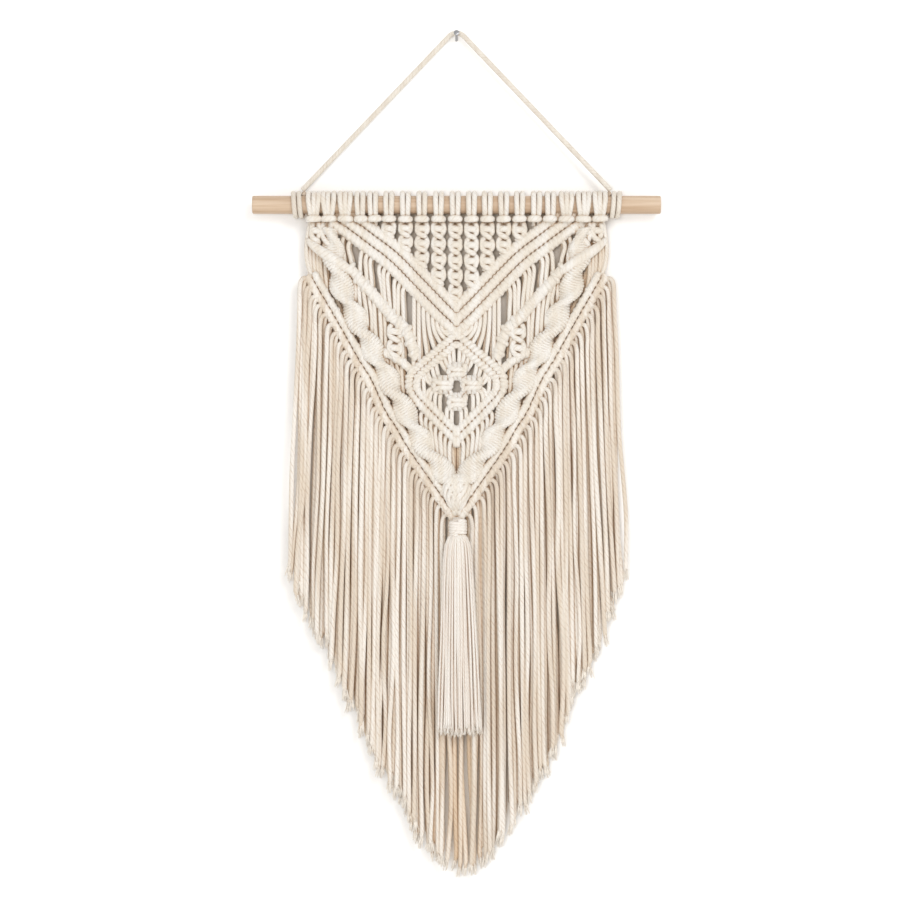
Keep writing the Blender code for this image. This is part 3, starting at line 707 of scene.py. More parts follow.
# Tints of the cotton's and the wood's own colour.
FLECK_TINT = (0.92, 0.9, 0.87)
FLECK_SHARE = 0.55
FIGURE_TINT = (0.76, 0.68, 0.6)  # broad streaks in the wood
FIGURE_SHARE = 0.8
# Painted shade on the paint where cotton hangs close before it, tan like light passed between cords.
PAINTED_WALL_SHADE = (0.88, 0.73, 0.57)  # wall close behind the cotton
# How wide hollows may be to get painted shade, in millimetres.
HOLLOW_REACH = 7.0
WALL_SHADE_REACH = 40.0

# Noises: scale, detail, and how much finer they are along each axis.
TONE_NOISE = (1.0, 2.0, (130, 130, 7))
SEAM_NOISE = (1.0, 3.0, (220, 220, 90))
FLECK_NOISE = (700.0, 3.0)
FUZZ_NOISE = (1100.0, 4.0)
FIBRE_NOISE = (300.0, 2.0)
GRAIN_NOISE = (1.0, 6.0, (14, 420, 420))
FIGURE_NOISE = (1.0, 3.0, (6, 90, 90))
WEAR_NOISE = (900.0, 4.0)
PAINT_NOISE = (3.0, 2.0)

# The two values of a factor between which one colour turns into another.
EVEN_SPAN = (0.35, 0.65)
WHOLE_SPAN = (0.0, 1.0)
TONE_SPAN = (0.4, 0.6)
FLECK_SPAN = (0.3, 0.6)
HOLLOW_SPAN = (0.05, 0.52)
SEAM_SPAN = (0.0, 0.5)
SEAM_PATCH_SPAN = (0.42, 0.62)
GRAIN_SPAN = (0.3, 0.75)
FIGURE_SPAN = (0.38, 0.7)
WALL_SHADE_SPAN = (0.05, 0.4)

# Bumps: strength, and height in metres.
PLY_HEIGHT = 0.0006
FUZZ_BUMP = (0.35, 0.0006)
GRAIN_BUMP = (0.25, 0.0004)
WEAR_BUMP = (0.15, 0.0002)

PLIES = 3.0
# Painted shade in the seams between plies:
FAINT_SEAM = 0.15  # how dark a seam stays where it is faintest, as a share
MIX_FIRST, MIX_SECOND, MIX_RESULT = 6, 7, 2  # a Mix node's sockets for colours

# Each cotton finish: its lighter and darker colour, the depths between which its cords pass from front to
# back and their painted shade deepens, the relief of its plies, how dark the painted shade in the seams
# between them is, and how many plies follow in the length of a lay.
COTTONS = {
    "cotton cord": ("cotton", "cotton_dark", 14.5, 5.0, 0.4, 0.4, 1.0),
    "fringe cord": ("fringe", "fringe_dark", 13.2, 6.0, 0.5, 0.65, 0.8),
    "tassel cord": ("tassel", "tassel_dark", 14.0, 8.0, 0.4, 0.6, 0.9),
    "hanging cord": ("hanger", "hanger_dark", 3.0, 1.0, 0.4, 0.4, 1.0),
}


def new_material(name):
    made = bpy.data.materials.new(name)
    made.use_nodes = True
    tree = made.node_tree
    return made, tree, tree.nodes["Principled BSDF"]


def node(tree, kind, **values):
    made = tree.nodes.new(kind)
    for name, value in values.items():
        if name in made.inputs:
            made.inputs[name].default_value = value
        else:
            setattr(made, name, value)
    return made


def noise_of(tree, scale, detail, stretch=(1, 1, 1)):
    """A noise on the object's own coordinates, finer along the axes with a larger stretch."""
    where = node(tree, "ShaderNodeTexCoord")
    fit = node(tree, "ShaderNodeMapping", Scale=stretch)
    made = node(tree, "ShaderNodeTexNoise", Scale=scale, Detail=detail)
    tree.links.new(where.outputs["Object"], fit.inputs["Vector"])
    tree.links.new(fit.outputs["Vector"], made.inputs["Vector"])
    return made.outputs["Fac"]


def blend_of(tree, factor, first, second, span=EVEN_SPAN, between=()):
    """A colour that runs from the first to the second as the factor passes over the span, by way of any
    positions and colours between them."""
    ramp = node(tree, "ShaderNodeValToRGB")
    elements = ramp.color_ramp.elements
    for element, position, color in zip(elements, span, (first, second)):
        element.position = position
        element.color = (*color, 1)
    for position, color in between:
        elements.new(position).color = (*color, 1)
    tree.links.new(factor, ramp.inputs["Fac"])
    return ramp.outputs["Color"]


def tinted(tree, color, tint, share=1.0):
    """The colour multiplied by the tint, by a share that is a number or another node's output."""
    made = node(tree, "ShaderNodeMix", data_type="RGBA", blend_type="MULTIPLY")
    if isinstance(share, float):
        made.inputs["Factor"].default_value = share
    else:
        tree.links.new(share, made.inputs["Factor"])
    tree.links.new(color, made.inputs[MIX_FIRST])
    tree.links.new(tint, made.inputs[MIX_SECOND])
    return made.outputs[MIX_RESULT]


def bumped(tree, shader, height, strength, distance, after=None):
    """Raises the shader's surface by the height, over the bump that another call gave."""
    bump = node(tree, "ShaderNodeBump", Strength=strength, Distance=distance)
    tree.links.new(height, bump.inputs["Height"])
    if after:
        tree.links.new(after, bump.inputs["Normal"])
    tree.links.new(bump.outputs["Normal"], shader.inputs["Normal"])
    return bump.outputs["Normal"]


def shine(shader, roughness, **values):
    """Sets the shader's own sockets. A name is the socket's, with an underscore for a space."""
    shader.inputs["Roughness"].default_value = roughness
    for name, value in values.items():
        shader.inputs[name.replace("_", " ")].default_value = value


def math_of(tree, operation, first, second=None):
    made = node(tree, "ShaderNodeMath", operation=operation)
    for socket, value in zip(made.inputs, (first, second)):
        if isinstance(value, (int, float)):
            socket.default_value = value
        elif value is not None:
            tree.links.new(value, socket)
    return made.outputs[0]


def plies_of(tree, per_lay):
    """The height of the plies that wind round a cord, from the cord's own map."""
    where = node(tree, "ShaderNodeUVMap", uv_map="UVMap")
    parts = node(tree, "ShaderNodeSeparateXYZ")
    tree.links.new(where.outputs["UV"], parts.inputs["Vector"])
    round_turns = math_of(tree, "MULTIPLY", parts.outputs["Y"], PLIES)
    along = math_of(tree, "MULTIPLY", parts.outputs["X"], per_lay)
    turns = math_of(tree, "ADD", along, round_turns)
    return math_of(tree, "ABSOLUTE", math_of(tree, "SINE", math_of(tree, "MULTIPLY", turns, math.pi)))


def depth_of(tree, near, far):
    """A factor that runs from 0 to 1 between two depths in front of the wall."""
    where = node(tree, "ShaderNodeTexCoord")
    parts = node(tree, "ShaderNodeSeparateXYZ")
    tree.links.new(where.outputs["Object"], parts.inputs["Vector"])
    fit = node(tree, "ShaderNodeMapRange")
    fit.inputs["From Min"].default_value = -near * MM
    fit.inputs["From Max"].default_value = -far * MM
    tree.links.new(parts.outputs["Y"], fit.inputs["Value"])
    return fit.outputs["Result"]


def occlusion_of(tree, reach):
    """A factor for painted shade: 1 on open surfaces, falling towards 0 in hollows narrower than the reach.
    """
    made = node(tree, "ShaderNodeAmbientOcclusion", samples=8, Distance=reach * MM)
    return made.outputs["AO"]


def cotton_finish(name, light, dark, near, far, relief, seams, per_lay):
    """Soft plied cotton: uneven tone from cord to cord, painted shade that makes the layers behind warmer
    and darkens hollows and the seams between plies, fine fibres, and the sheen of loose fibre ends."""
    made, tree, shader = new_material(name)
    tone = blend_of(tree, noise_of(tree, *TONE_NOISE), light, dark, TONE_SPAN)
    fleck = blend_of(tree, noise_of(tree, *FLECK_NOISE), FLECK_TINT, WHITE, FLECK_SPAN)
    # Painted shade by depth: tan halfway from the front cords to the hindmost, and fainter again at the
    # hindmost.
    layer = blend_of(
        tree, depth_of(tree, near, far), WHITE, PAINTED_BACK_SHADE, WHOLE_SPAN, ((INNER_SHADE_SHARE, PAINTED_INNER_SHADE),)
    )
    # Painted shade: tan in the hollows between cords, from the ambient occlusion.
    hollow_shade = blend_of(tree, occlusion_of(tree, HOLLOW_REACH), PAINTED_HOLLOW_SHADE, WHITE, HOLLOW_SPAN)
    plies = plies_of(tree, per_lay)
    # Painted shade in the grooves between plies, stronger in some patches than in others.
    seam_shade = blend_of(tree, plies, PAINTED_SEAM_SHADE, WHITE, SEAM_SPAN)
    faint, plain = (seams * FAINT_SEAM,) * 3, (seams,) * 3
    patches = blend_of(tree, noise_of(tree, *SEAM_NOISE), faint, plain, SEAM_PATCH_SPAN)
    color = tinted(tree, tone, fleck, FLECK_SHARE)
    color = tinted(tree, color, layer)
    color = tinted(tree, color, hollow_shade)
    color = tinted(tree, color, seam_shade, patches)
    tree.links.new(color, shader.inputs["Base Color"])
    shine(
        shader,
        0.92,
        Specular_IOR_Level=0.2,
        Sheen_Weight=0.2,
        Sheen_Roughness=0.6,
        Sheen_Tint=(1.0, 0.96, 0.9, 1.0),
    )
    wound = bumped(tree, shader, plies, relief, PLY_HEIGHT)
    bumped(tree, shader, noise_of(tree, *FUZZ_NOISE), *FUZZ_BUMP, wound)
    return made


def fibre_finish(name, color):
    """Loose pale cotton fibres."""
    made, tree, shader = new_material(name)
    darker = tuple(value * 0.93 for value in color)
    tree.links.new(blend_of(tree, noise_of(tree, *FIBRE_NOISE), darker, color), shader.inputs["Base Color"])
    shine(shader, 1.0, Specular_IOR_Level=0.1, Sheen_Weight=0.3)
    return made


def wood_finish(name, light, dark):
    """Pale sanded wood with a fine straight grain along the dowel."""
    made, tree, shader = new_material(name)
    grain = noise_of(tree, *GRAIN_NOISE)
    wood = blend_of(tree, grain, light, dark, GRAIN_SPAN)
    figure = blend_of(tree, noise_of(tree, *FIGURE_NOISE), WHITE, FIGURE_TINT, FIGURE_SPAN)
    tree.links.new(tinted(tree, wood, figure, FIGURE_SHARE), shader.inputs["Base Color"])
    shine(shader, 0.55)
    bumped(tree, shader, grain, *GRAIN_BUMP)
    return made


def steel_finish(name, color):
    """Dark drawn steel, a little scratched."""
    made, tree, shader = new_material(name)
    wear = noise_of(tree, *WEAR_NOISE)
    lighter = tuple(min(1.0, value * 1.5) for value in color)
    tree.links.new(blend_of(tree, wear, color, lighter), shader.inputs["Base Color"])
    shine(shader, 0.32, Metallic=0.9)
    bumped(tree, shader, wear, *WEAR_BUMP)
    return made


def plaster_finish(name, color, one_sided):
    """Plain matt paint, with painted shade that makes it warmer where cotton hangs close before it. A
    one-sided sheet shows nothing from behind."""
    made, tree, shader = new_material(name)
    paler = tuple(value * 0.985 for value in color)
    paint = blend_of(tree, noise_of(tree, *PAINT_NOISE), color, paler)
    # Painted shade: tan where cotton hangs close before the paint, from the ambient occlusion.
    wall_shade = blend_of(tree, occlusion_of(tree, WALL_SHADE_REACH), PAINTED_WALL_SHADE, WHITE, WALL_SHADE_SPAN)
    tree.links.new(tinted(tree, paint, wall_shade), shader.inputs["Base Color"])
    shine(shader, 0.95, Specular_IOR_Level=0.1)
    if one_sided:
        side = node(tree, "ShaderNodeNewGeometry")
        clear = node(tree, "ShaderNodeBsdfTransparent")
        either = node(tree, "ShaderNodeMixShader")
        tree.links.new(side.outputs["Backfacing"], either.inputs["Fac"])
        tree.links.new(shader.outputs["BSDF"], either.inputs[1])
        tree.links.new(clear.outputs["BSDF"], either.inputs[2])
        tree.links.new(either.outputs["Shader"], tree.nodes["Material Output"].inputs["Surface"])
    return made


def color_of(name):
    return tuple(getattr(bpy.context.scene.hanging_colors, name))


def finish_of(name):
    """The finish with this name, made from the colours in the panel on its first use."""
    if name in bpy.data.materials:
        return bpy.data.materials[name]
    if name in COTTONS:
        light, dark, *values = COTTONS[name]
        return cotton_finish(name, color_of(light), color_of(dark), *values)
    makers = {
        "cut ends": lambda: fibre_finish(name, color_of("ends")),
        "pale wood": lambda: wood_finish(name, color_of("wood"), color_of("wood_dark")),
        "nail steel": lambda: steel_finish(name, color_of("steel")),
        "wall paint": lambda: plaster_finish(name, color_of("wall"), True),
        "floor paint": lambda: plaster_finish(name, color_of("wall"), False),
    }
    return makers[name]()


# ---- settings ----


def length_setting(name, description, default, low):
    return FloatProperty(name=name, description=description, default=default, min=low, unit="LENGTH")


def power_setting(name, description, default):
    return FloatProperty(name=name, description=description, default=default, min=0.0, unit="POWER")


def color_setting(name, description, default):
    return FloatVectorProperty(
        name=name, description=description, default=default, subtype="COLOR", min=0.0, max=1.0
    )


class HangingSizes(bpy.types.PropertyGroup):
    """Sizes a user would change."""

    cord: length_setting("Cord", "Diameter of the knotted cord", 0.0047, 0.002)
    fringe_cord: length_setting("Fringe cord", "Diameter of the cords in the fringe", 0.0047, 0.002)
    tassel_thread: length_setting(
        "Tassel thread", "Diameter of the threads in the tassel's skirt", 0.0025, 0.001
    )
    seed: IntProperty(name="Seed", description="Chooses how the cords differ from each other", default=7)


class HangingColors(bpy.types.PropertyGroup):
    """Colours of the finishes."""

    cotton: color_setting("Cotton", "Lightest tone of the knotted cord", (0.757, 0.724, 0.676))
    cotton_dark: color_setting("Cotton, darker", "Darkest tone of the knotted cord", (0.705, 0.648, 0.568))
    fringe: color_setting("Fringe", "Lightest tone of the fringe", (0.772, 0.725, 0.662))
    fringe_dark: color_setting("Fringe, darker", "Darkest tone of the fringe", (0.655, 0.568, 0.468))
    tassel: color_setting("Tassel", "Lightest tone of the tassel", (0.795, 0.758, 0.71))
    tassel_dark: color_setting("Tassel, darker", "Darkest tone of the tassel", (0.745, 0.685, 0.62))
    ends: color_setting("Cut ends", "Tone of the loose fibres at the cut ends", (0.84, 0.775, 0.69))
    hanger: color_setting("Hanging cord", "Lightest tone of the hanging cord", (0.71, 0.66, 0.585))
    hanger_dark: color_setting(
        "Hanging cord, darker", "Darkest tone of the hanging cord", (0.65, 0.59, 0.51)
    )
    wood: color_setting("Wood", "Lightest tone of the dowel", (0.645, 0.505, 0.375))
    wood_dark: color_setting("Wood, darker", "Tone of the dowel's grain", (0.49, 0.345, 0.225))
    steel: color_setting("Steel", "Tone of the nail", (0.30, 0.30, 0.31))
    wall: color_setting("Wall", "Tone of the wall and the floor", (0.95, 0.94, 0.925))


class StageSettings(bpy.types.PropertyGroup):
    """Camera and light."""

    camera_distance: length_setting("Camera distance", "Distance of the camera from the wall", 3.0, 0.5)
    picture_width: length_setting(
        "Picture width", "Width of what the camera sees at the panel", 0.912, 0.1
    )
    key_power: power_setting("Key light", "Power of the large light at the upper right", 25.0)
    fill_power: power_setting("Fill light", "Power of the light beside the camera", 27.0)
    sky: FloatProperty(
        name="Sky", description="Strength of the even light from all sides", default=0.745, min=0.0
    )


def cord_radius(context):
    return context.scene.hanging_sizes.cord / 2 / MM


# ---- the hanging cord ----


def hanger_route():
    """The hanging cord's line: up from the left foot, over the nail, down to the right foot."""
    foot_out, foot_drop, foot_depth = HANGER_FOOT
    middle_drop = HANGER_CROWN + HANGER_BEND
    fall = foot_drop - middle_drop
    bend = math.atan2(fall, foot_out) + math.asin(HANGER_BEND / math.hypot(foot_out, fall))
    touch_out = HANGER_BEND * math.sin(bend)
    touch_drop = middle_drop - HANGER_BEND * math.cos(bend)
    half = []
    for i in range(HANGER_STEPS):
        share = i / HANGER_STEPS
        half.append(
            (
                foot_out + (touch_out - foot_out) * share,
                foot_drop + (touch_drop - foot_drop) * share,
                foot_depth + (HANGER_CROWN_DEPTH - foot_depth) * share,
            )
        )
    for i in range(HANGER_BEND_STEPS + 1):
        angle = bend * (1 - i / HANGER_BEND_STEPS)
        half.append(
            (
                HANGER_BEND * math.sin(angle),
                middle_drop - HANGER_BEND * math.cos(angle),
                HANGER_CROWN_DEPTH,
            )
        )
    left = [(-out, drop, depth) for out, drop, depth in half]
    return left + half[-2::-1]


class HANGING_OT_hanger(bpy.types.Operator):
    """The taut cord from the dowel's one end over the nail to the other"""

    bl_idname = "hanging.hanger"
    bl_label = "Hanging cord"

    def execute(self, context):
        route = smooth([place(*spot) for spot in hanger_route()], 3 * MM)
        mesh = swept("hanging_cord", [(route, False)], HANGER_CORD / 2, sides=12)
        cord = piece("hanging_cord", mesh, finish_of("hanging cord"), "hanger_cord", "hanger")
        return {"FINISHED"}


def round_dowel(across, angle, lift, share=1.0):
    """A point off the dowel's surface: the angle is 0 in front, 90 degrees on top and 180 behind."""
    angle = math.radians(angle)
    reach = DOWEL_RADIUS + lift
    return place(
        across,
        DOWEL_DROP - reach * math.sin(angle),
        DOWEL_DEPTH + reach * math.cos(angle),
        share,
    )


class HANGING_OT_wraps(bpy.types.Operator):
    """The hanging cord's ends, each wound twice round the dowel"""

    bl_idname = "hanging.wraps"
    bl_label = "Cord ends round the dowel"

    def execute(self, context):
        radius = HANGER_CORD / 2
        for side, word in SIDES:
            turns = []
            for step in range(WRAP_TURNS * WRAP_STEPS + 1):
                turn = step / WRAP_STEPS
                across = side * (WRAP_OUT + WRAP_PITCH * (turn - WRAP_TURNS / 2))
                turns.append(round_dowel(across, WRAP_START + 360 * turn, radius + WRAP_LIFT))
            mesh = swept("wrap", [(turns, False)], radius, sides=10)
            name = f"hanging_cord_end_{word}"
            piece(name, mesh, finish_of("hanging cord"), "hanger_cord", f"hanger_wrap_{word}")
        return {"FINISHED"}


# ---- the lark's head knots ----


def lark_cord(across, offset, pinch, rng):
    """One cord of a lark's head: from under the bar, up the dowel's front, over it and down behind."""
    share = LARK_CORD_SHARE * rng.uniform(0.97, 1.03)
    below, depth, thick = LARK_RISE
    points = []
    for drop, forward, width in (*LARK_FOOT, (below, depth, share * thick)):
        points.append(place(across + offset * pinch, RAIL_DROP + drop, forward, width))
    for angle in LARK_ARC:
        drawn = pinch + (1 - pinch) * min(1.0, (angle - LARK_ARC.start) / LARK_SPREAD)
        points.append(round_dowel(across + offset * drawn, angle, LARK_LIFT, share))
    return points


def lark_bar(across, half, rng):
    """The bar of a lark's head, which comes forward under the dowel, crosses its cords and goes back."""
    lean = astray(rng, 0.35)
    middle = RAIL_DROP + rng.uniform(-0.3, 0.4)
    out, angle = LARK_BAR_END
    halves = []
    for side in (-1, 1):
        points = [round_dowel(across + side * half * out, angle, LARK_LIFT)]
        for wide, drop, tilt, depth, share in LARK_BAR:
            height = middle + drop + side * lean * tilt
            points.append(place(across + side * half * wide, height, depth, share))
        halves.append(points)
    left, right = halves
    return [*left, place(across, middle, *LARK_BAR_MIDDLE), *right[::-1]]


class HANGING_OT_heading(bpy.types.Operator):
    """The lark's head knots that hold the cords on the dowel"""

    bl_idname = "hanging.heading"
    bl_label = "Lark's head knots"

    def execute(self, context):
        rng = random.Random(context.scene.hanging_sizes.seed)
        routes = []
        for across, offsets in HEADS:
            pinch = LARK_PINCH[len(offsets)]
            for offset in offsets:
                drawn = pinch * rng.uniform(0.94, 1.04)
                routes.append(open_route(lark_cord(across, offset, drawn, rng), 1.8))
            routes.append(open_route(lark_bar(across, LARK_BAR_HALF[len(offsets)], rng), 1.4))
        mesh = joined("larks_heads", [swept("heads", routes, cord_radius(context), sides=10)])
        piece("larks_heads", mesh, finish_of("cotton cord"), "cotton_cord", "heading")
        return {"FINISHED"}


# ---- hitched rows ----


def hitch(centre, along, side, reach, depth):
    """One hitch: a ring of cord round the cord that carries the row."""
    across = sideways(along)
    ring = []
    for i in range(HITCH_STEPS):
        around = math.tau * i / HITCH_STEPS
        spot = centre + across * (reach * math.cos(around)) + along * (HITCH_LEAN * math.cos(around))
        ring.append(place(side * spot.x, spot.y, depth + reach * math.sin(around), HITCH_SHARE))
    return ring, True


def hitched_row(line, width, pitch, proud, bulge, phase, side, radius, rng):
    """The hitches of a row along a line, and the bundle of cords that they cover."""
    marks = lengths(line)
    half_wide = width / 2 + proud - radius * HITCH_SHARE
    hitches, core = [], []
    for k in range(max(2, math.ceil(marks[-1] / pitch))):
        spot = min(marks[-1], k * pitch + phase) + astray(rng, HITCH_WANDER)
        centre, along = at_length(line, marks, spot)
        swell = rng.uniform(-0.12, 0.16) + bulge * math.sin(math.tau * spot / SWELL_RUN)
        centre = centre + sideways(along) * astray(rng, HITCH_WANDER)
        depth = PANEL_DEPTH + astray(rng, HITCH_WANDER)
        hitches.append(hitch(centre, along, side, half_wide + swell, depth))
    full = (width / 2 - HITCH_SUNK) / radius
    thin, slow = CORE_END
    steps = max(4, round(marks[-1] / CORE_STEP))
    for k in range(steps + 1):
        distance = marks[-1] * k / steps
        spot, _ = at_length(line, marks, distance)
        end = min(distance, marks[-1] - distance)
        core.append(place(side * spot.x, spot.y, PANEL_DEPTH, full * min(1.0, thin + end / slow)))
    return hitches, (core, False)


def rows_of(rows, width, points):
    """The lines of a bar's rows, each cut where it reaches the centre."""
    line = smooth(points, LINE_STEP)
    shifts = [(rows - 1) * width / 2 - row * width for row in range(rows)]
    return [[p for p in offset_line(line, shift) if p.x >= CENTRE_CUT] for shift in shifts]


def hitched_rows(name, rows, values, radius, rng, sides=(-1, 1), first_row=0):
    """A mesh of hitched rows along the lines. The values are a row's width, pitch, proud and bulge. The
    hitches of rows side by side meet each other."""
    _, pitch, _, _ = values
    hitches, cores = [], []
    for side in sides:
        for row, line in enumerate(rows, first_row):
            phase = (HITCH_START - 2 * HITCH_LEAN * row) % pitch
            over, core = hitched_row(line, *values, phase, side, radius, rng)
            hitches += over
            cores.append(core)
    return joined(name, [swept("hitches", hitches, radius), swept("cores", cores, radius, sides=12)])


def outer_rows():
    """The lines of the outer V's two rows: the inner one ends the panel, and the outer one holds the
    fringe."""
    outer, inner = rows_of(2, OUTER_ROW, OUTER_V)
    return inner, [p for p in outer if p.x >= STRIP_END_OUT]


class HANGING_OT_hitched_rows(bpy.types.Operator):
    """The V of three rows, the chains beside it, the diamond's rows and the outer V's inner row"""

    bl_idname = "hanging.hitched_rows"
    bl_label = "Hitched rows"

    def execute(self, context):
        rng = random.Random(context.scene.hanging_sizes.seed + 1)
        radius = cord_radius(context)
        groups = {
            "v_rows": (MAIN_V,),
            "side_chains": (LONG_CHAIN, SHORT_CHAIN),
            "diamond_rows": (DIAMOND_TOP, DIAMOND_FOOT),
        }
        for name, bars in groups.items():
            meshes = []
            for rows, *values, points in bars:
                lines = rows_of(rows, values[0], points)
                meshes.append(hitched_rows(name, lines, values, radius, rng))
            panel_piece(name, joined(name, meshes))
        inner, _ = outer_rows()
        mesh = hitched_rows("outer_v_row", [inner], OUTER_HITCHES, radius, rng, first_row=1)
        panel_piece("outer_v_row", mesh)
        return {"FINISHED"}


# ---- square knots ----


def square_knot(across, top, half_wide, height, depth):
    """One flat square knot, with its two working cords knotted round two that hang straight."""
    routes = []
    for pattern in (FRONT_CORD, BACK_CORD):
        points = [place(across + u * half_wide, top + v * height, depth + w) for u, v, w in pattern]
        routes.append(open_route(points, 1.6))
    for u in KNOT_CORES:
        forward = depth + KNOT_CORE_FORWARD
        points = [place(across + u * half_wide, top + v, forward) for v in (-3, height + 2)]
        routes.append((points, False))
    return routes


def knot_column(across, top, bottom, rng, slim=1.0):
    """A column of square knots. Its two working cords swell out and cross, the left one always in front."""
    count = max(1, round((bottom - top) / COLUMN_PITCH))
    height = (bottom - top) / count
    wander_across, wander_down = COLUMN_WANDER
    routes = []
    for first_side in (-1, 1):
        points = []
        for k in range(count):
            side = first_side if k % 2 == 0 else -first_side
            for u, v, over, under in COLUMN_CORD:
                forward = over if side < 0 else under
                wide = side * u * slim + astray(rng, wander_across)
                drop = top + (k + v) * height + astray(rng, wander_down)
                points.append(place(across + wide, drop, PANEL_DEPTH + forward, COLUMN_SHARE))
        last = -first_side if count % 2 else first_side
        end = across + last * COLUMN_CORD[0][0] * slim
        points.append(place(end, bottom + 1, PANEL_DEPTH, COLUMN_SHARE))
        routes.append(open_route(points, 1.8))
    for k in range(count):
        lean = astray(rng, COLUMN_BAR_LEAN)
        bar = []
        for u, w in COLUMN_BAR:
            drop = top + (k + COLUMN_BAR_DROP) * height + u * COLUMN_BAR_SLOPE + lean * u / COLUMN_HALF
            bar.append(place(across + u * slim, drop, PANEL_DEPTH + w, COLUMN_BAR_SHARE))
        routes.append(open_route(bar, 1.8))
    forward, share = COLUMN_CORE
    for u in COLUMN_CORES:
        ends = (top - COLUMN_RUN, bottom + COLUMN_RUN)
        core = [place(across + u * slim, drop, PANEL_DEPTH + forward, share) for drop in ends]
        routes.append((core, False))
    return routes


class HANGING_OT_square_knots(bpy.types.Operator):
    """The columns of square knots over the V, and the square knots in the diamond and at the sides"""

    bl_idname = "hanging.square_knots"
    bl_label = "Square knots"

    def execute(self, context):
        rng = random.Random(context.scene.hanging_sizes.seed + 6)
        radius = cord_radius(context)
        v_top = offset_line(smooth(MAIN_V.line, LINE_STEP), -MAIN_V.rows * MAIN_V.width / 2)
        routes = []
        for across, _ in HEADS[FIRST_COLUMN : LAST_COLUMN + 1]:
            bottom = level(v_top, abs(across)) + COLUMN_SINK
            routes += knot_column(across, RAIL_DROP + COLUMN_START, bottom, rng)
        for side in (-1, 1):
            for out, top, bottom, slim in SIDE_COLUMNS:
                routes += knot_column(side * out, top, bottom, rng, slim)
        panel_piece("knot_columns", joined("knot_columns", [swept("columns", routes, radius)]))
        routes = []
        for across, drop, half, height in DIAMOND_KNOTS:
            routes += square_knot(across, drop - height / 2, half, height, PANEL_DEPTH + KNOT_FORWARD)
        panel_piece("square_knots", joined("square_knots", [swept("knots", routes, radius * KNOT_SHARE)]))
        return {"FINISHED"}


# ---- twisted bands ----


def fuller(value):
    """A sine or cosine drawn out towards 1, which turns an ellipse into a fuller loop."""
    return math.copysign(abs(value) ** TWIST_FULLNESS, value)


def half_knot(centre, along, turn, side, half_wide, half_thick):
    """One half knot of a twisted band: a flat loop of cord, turned about the band's line."""
    across = sideways(along)
    ring = []
    for i in range(TWIST_STEPS):
        around = math.tau * i / TWIST_STEPS
        wide, thick = half_wide * fuller(math.cos(around)), half_thick * fuller(math.sin(around))
        u = wide * math.cos(turn) - thick * math.sin(turn)
        v = wide * math.sin(turn) + thick * math.cos(turn)
        spot = centre + across * u + along * (TWIST_LOOP_LEAN * math.sin(around))
        ring.append(place(side * spot.x, spot.y, TWIST_DEPTH + TWIST_FLAT * v))
    return ring, True


def twisted_band(name, side, radius, rng):
    """A band of half knots that winds round the cords inside it."""
    line = smooth(TWIST_LINE, LINE_STEP)
    marks = lengths(line)
    nearest = min(range(len(line)), key=lambda i: (line[i] - Vector(TWIST_FIRST)).length)
    count = round(marks[-1] / TWIST_PITCH)
    knots = []
    inside = {share: [] for share in TWIST_INSIDE}
    for k in range(count + 1):
        distance = marks[-1] * k / count
        centre, along = at_length(line, marks, distance)
        turn = math.pi * (distance - marks[nearest]) / TWIST_LOBE
        wide = TWIST_HALF_WIDTH + astray(rng, 0.35)
        lean = turn + astray(rng, 0.05)
        thick = TWIST_HALF_THICK + astray(rng, 0.2)
        knots.append(half_knot(centre, along, lean, side, wide, thick))
        for share, core in inside.items():
            spot = centre + sideways(along) * (share * TWIST_HALF_WIDTH * math.cos(turn))
            forward = TWIST_FLAT * share * TWIST_HALF_WIDTH * math.sin(turn)
            core.append(place(side * spot.x, spot.y, TWIST_DEPTH + forward, TWIST_HALF_THICK / radius))
    ridge = [place(side * out, drop, depth, share) for out, drop, depth, share in FIRST_RIDGE]
    fat = [(core, False) for core in inside.values()] + [open_route(ridge, 2.5)]
    return joined(name, [swept("half_knots", knots, TWIST_LOOP, sides=6), swept("inside", fat, radius)])


class HANGING_OT_twisted_bands(bpy.types.Operator):
    """The two bands of half knots that turn over and over beside the outer V"""

    bl_idname = "hanging.twisted_bands"
    bl_label = "Twisted bands"

    def execute(self, context):
        rng = random.Random(context.scene.hanging_sizes.seed + 2)
        for side, word in SIDES:
            name = f"twisted_band_{word}"
            panel_piece(name, twisted_band(name, side, cord_radius(context), rng))
        return {"FINISHED"}


# ---- single cords ----


def cord_through(points, side, step=3.0):
    """A cord through points of (out, drop, depth) on one side of the centre line."""
    return open_route([place(side * out, drop, depth) for out, drop, depth in points], step)


def hung_cord(side, top, bottom, above, below, depth, rng):
    """A cord between two lines. It leaves the upper one at a slant, hangs, and goes behind the lower."""
    start, end = level(above, top), level(below, bottom)
    sway = astray(rng, 0.8)
    share, forward = HUNG_MIDDLE
    points = [(top + u, start + v, depth + w) for u, v, w in HUNG_START]
    points.append((top + (bottom - top) * share + sway, start + (end - start) * share, depth + forward))
    points += [(bottom + u, end + v, depth + w) for u, v, w in HUNG_END]
    return cord_through(points, side)


def fan_cord(side, top, drawn, above, below, shift, depth):
    """A cord that leaves the V straight down and bows in towards the diamond's point."""
    start, end = level(above, top), level(below, top - drawn)
    points = []
    for inwards, share, across, down, forward in FAN_BOW:
        out = top - drawn * inwards + across - shift
        points.append((out, start + (end - start) * share + down, depth + forward))
    return cord_through(points, side, 2.5)


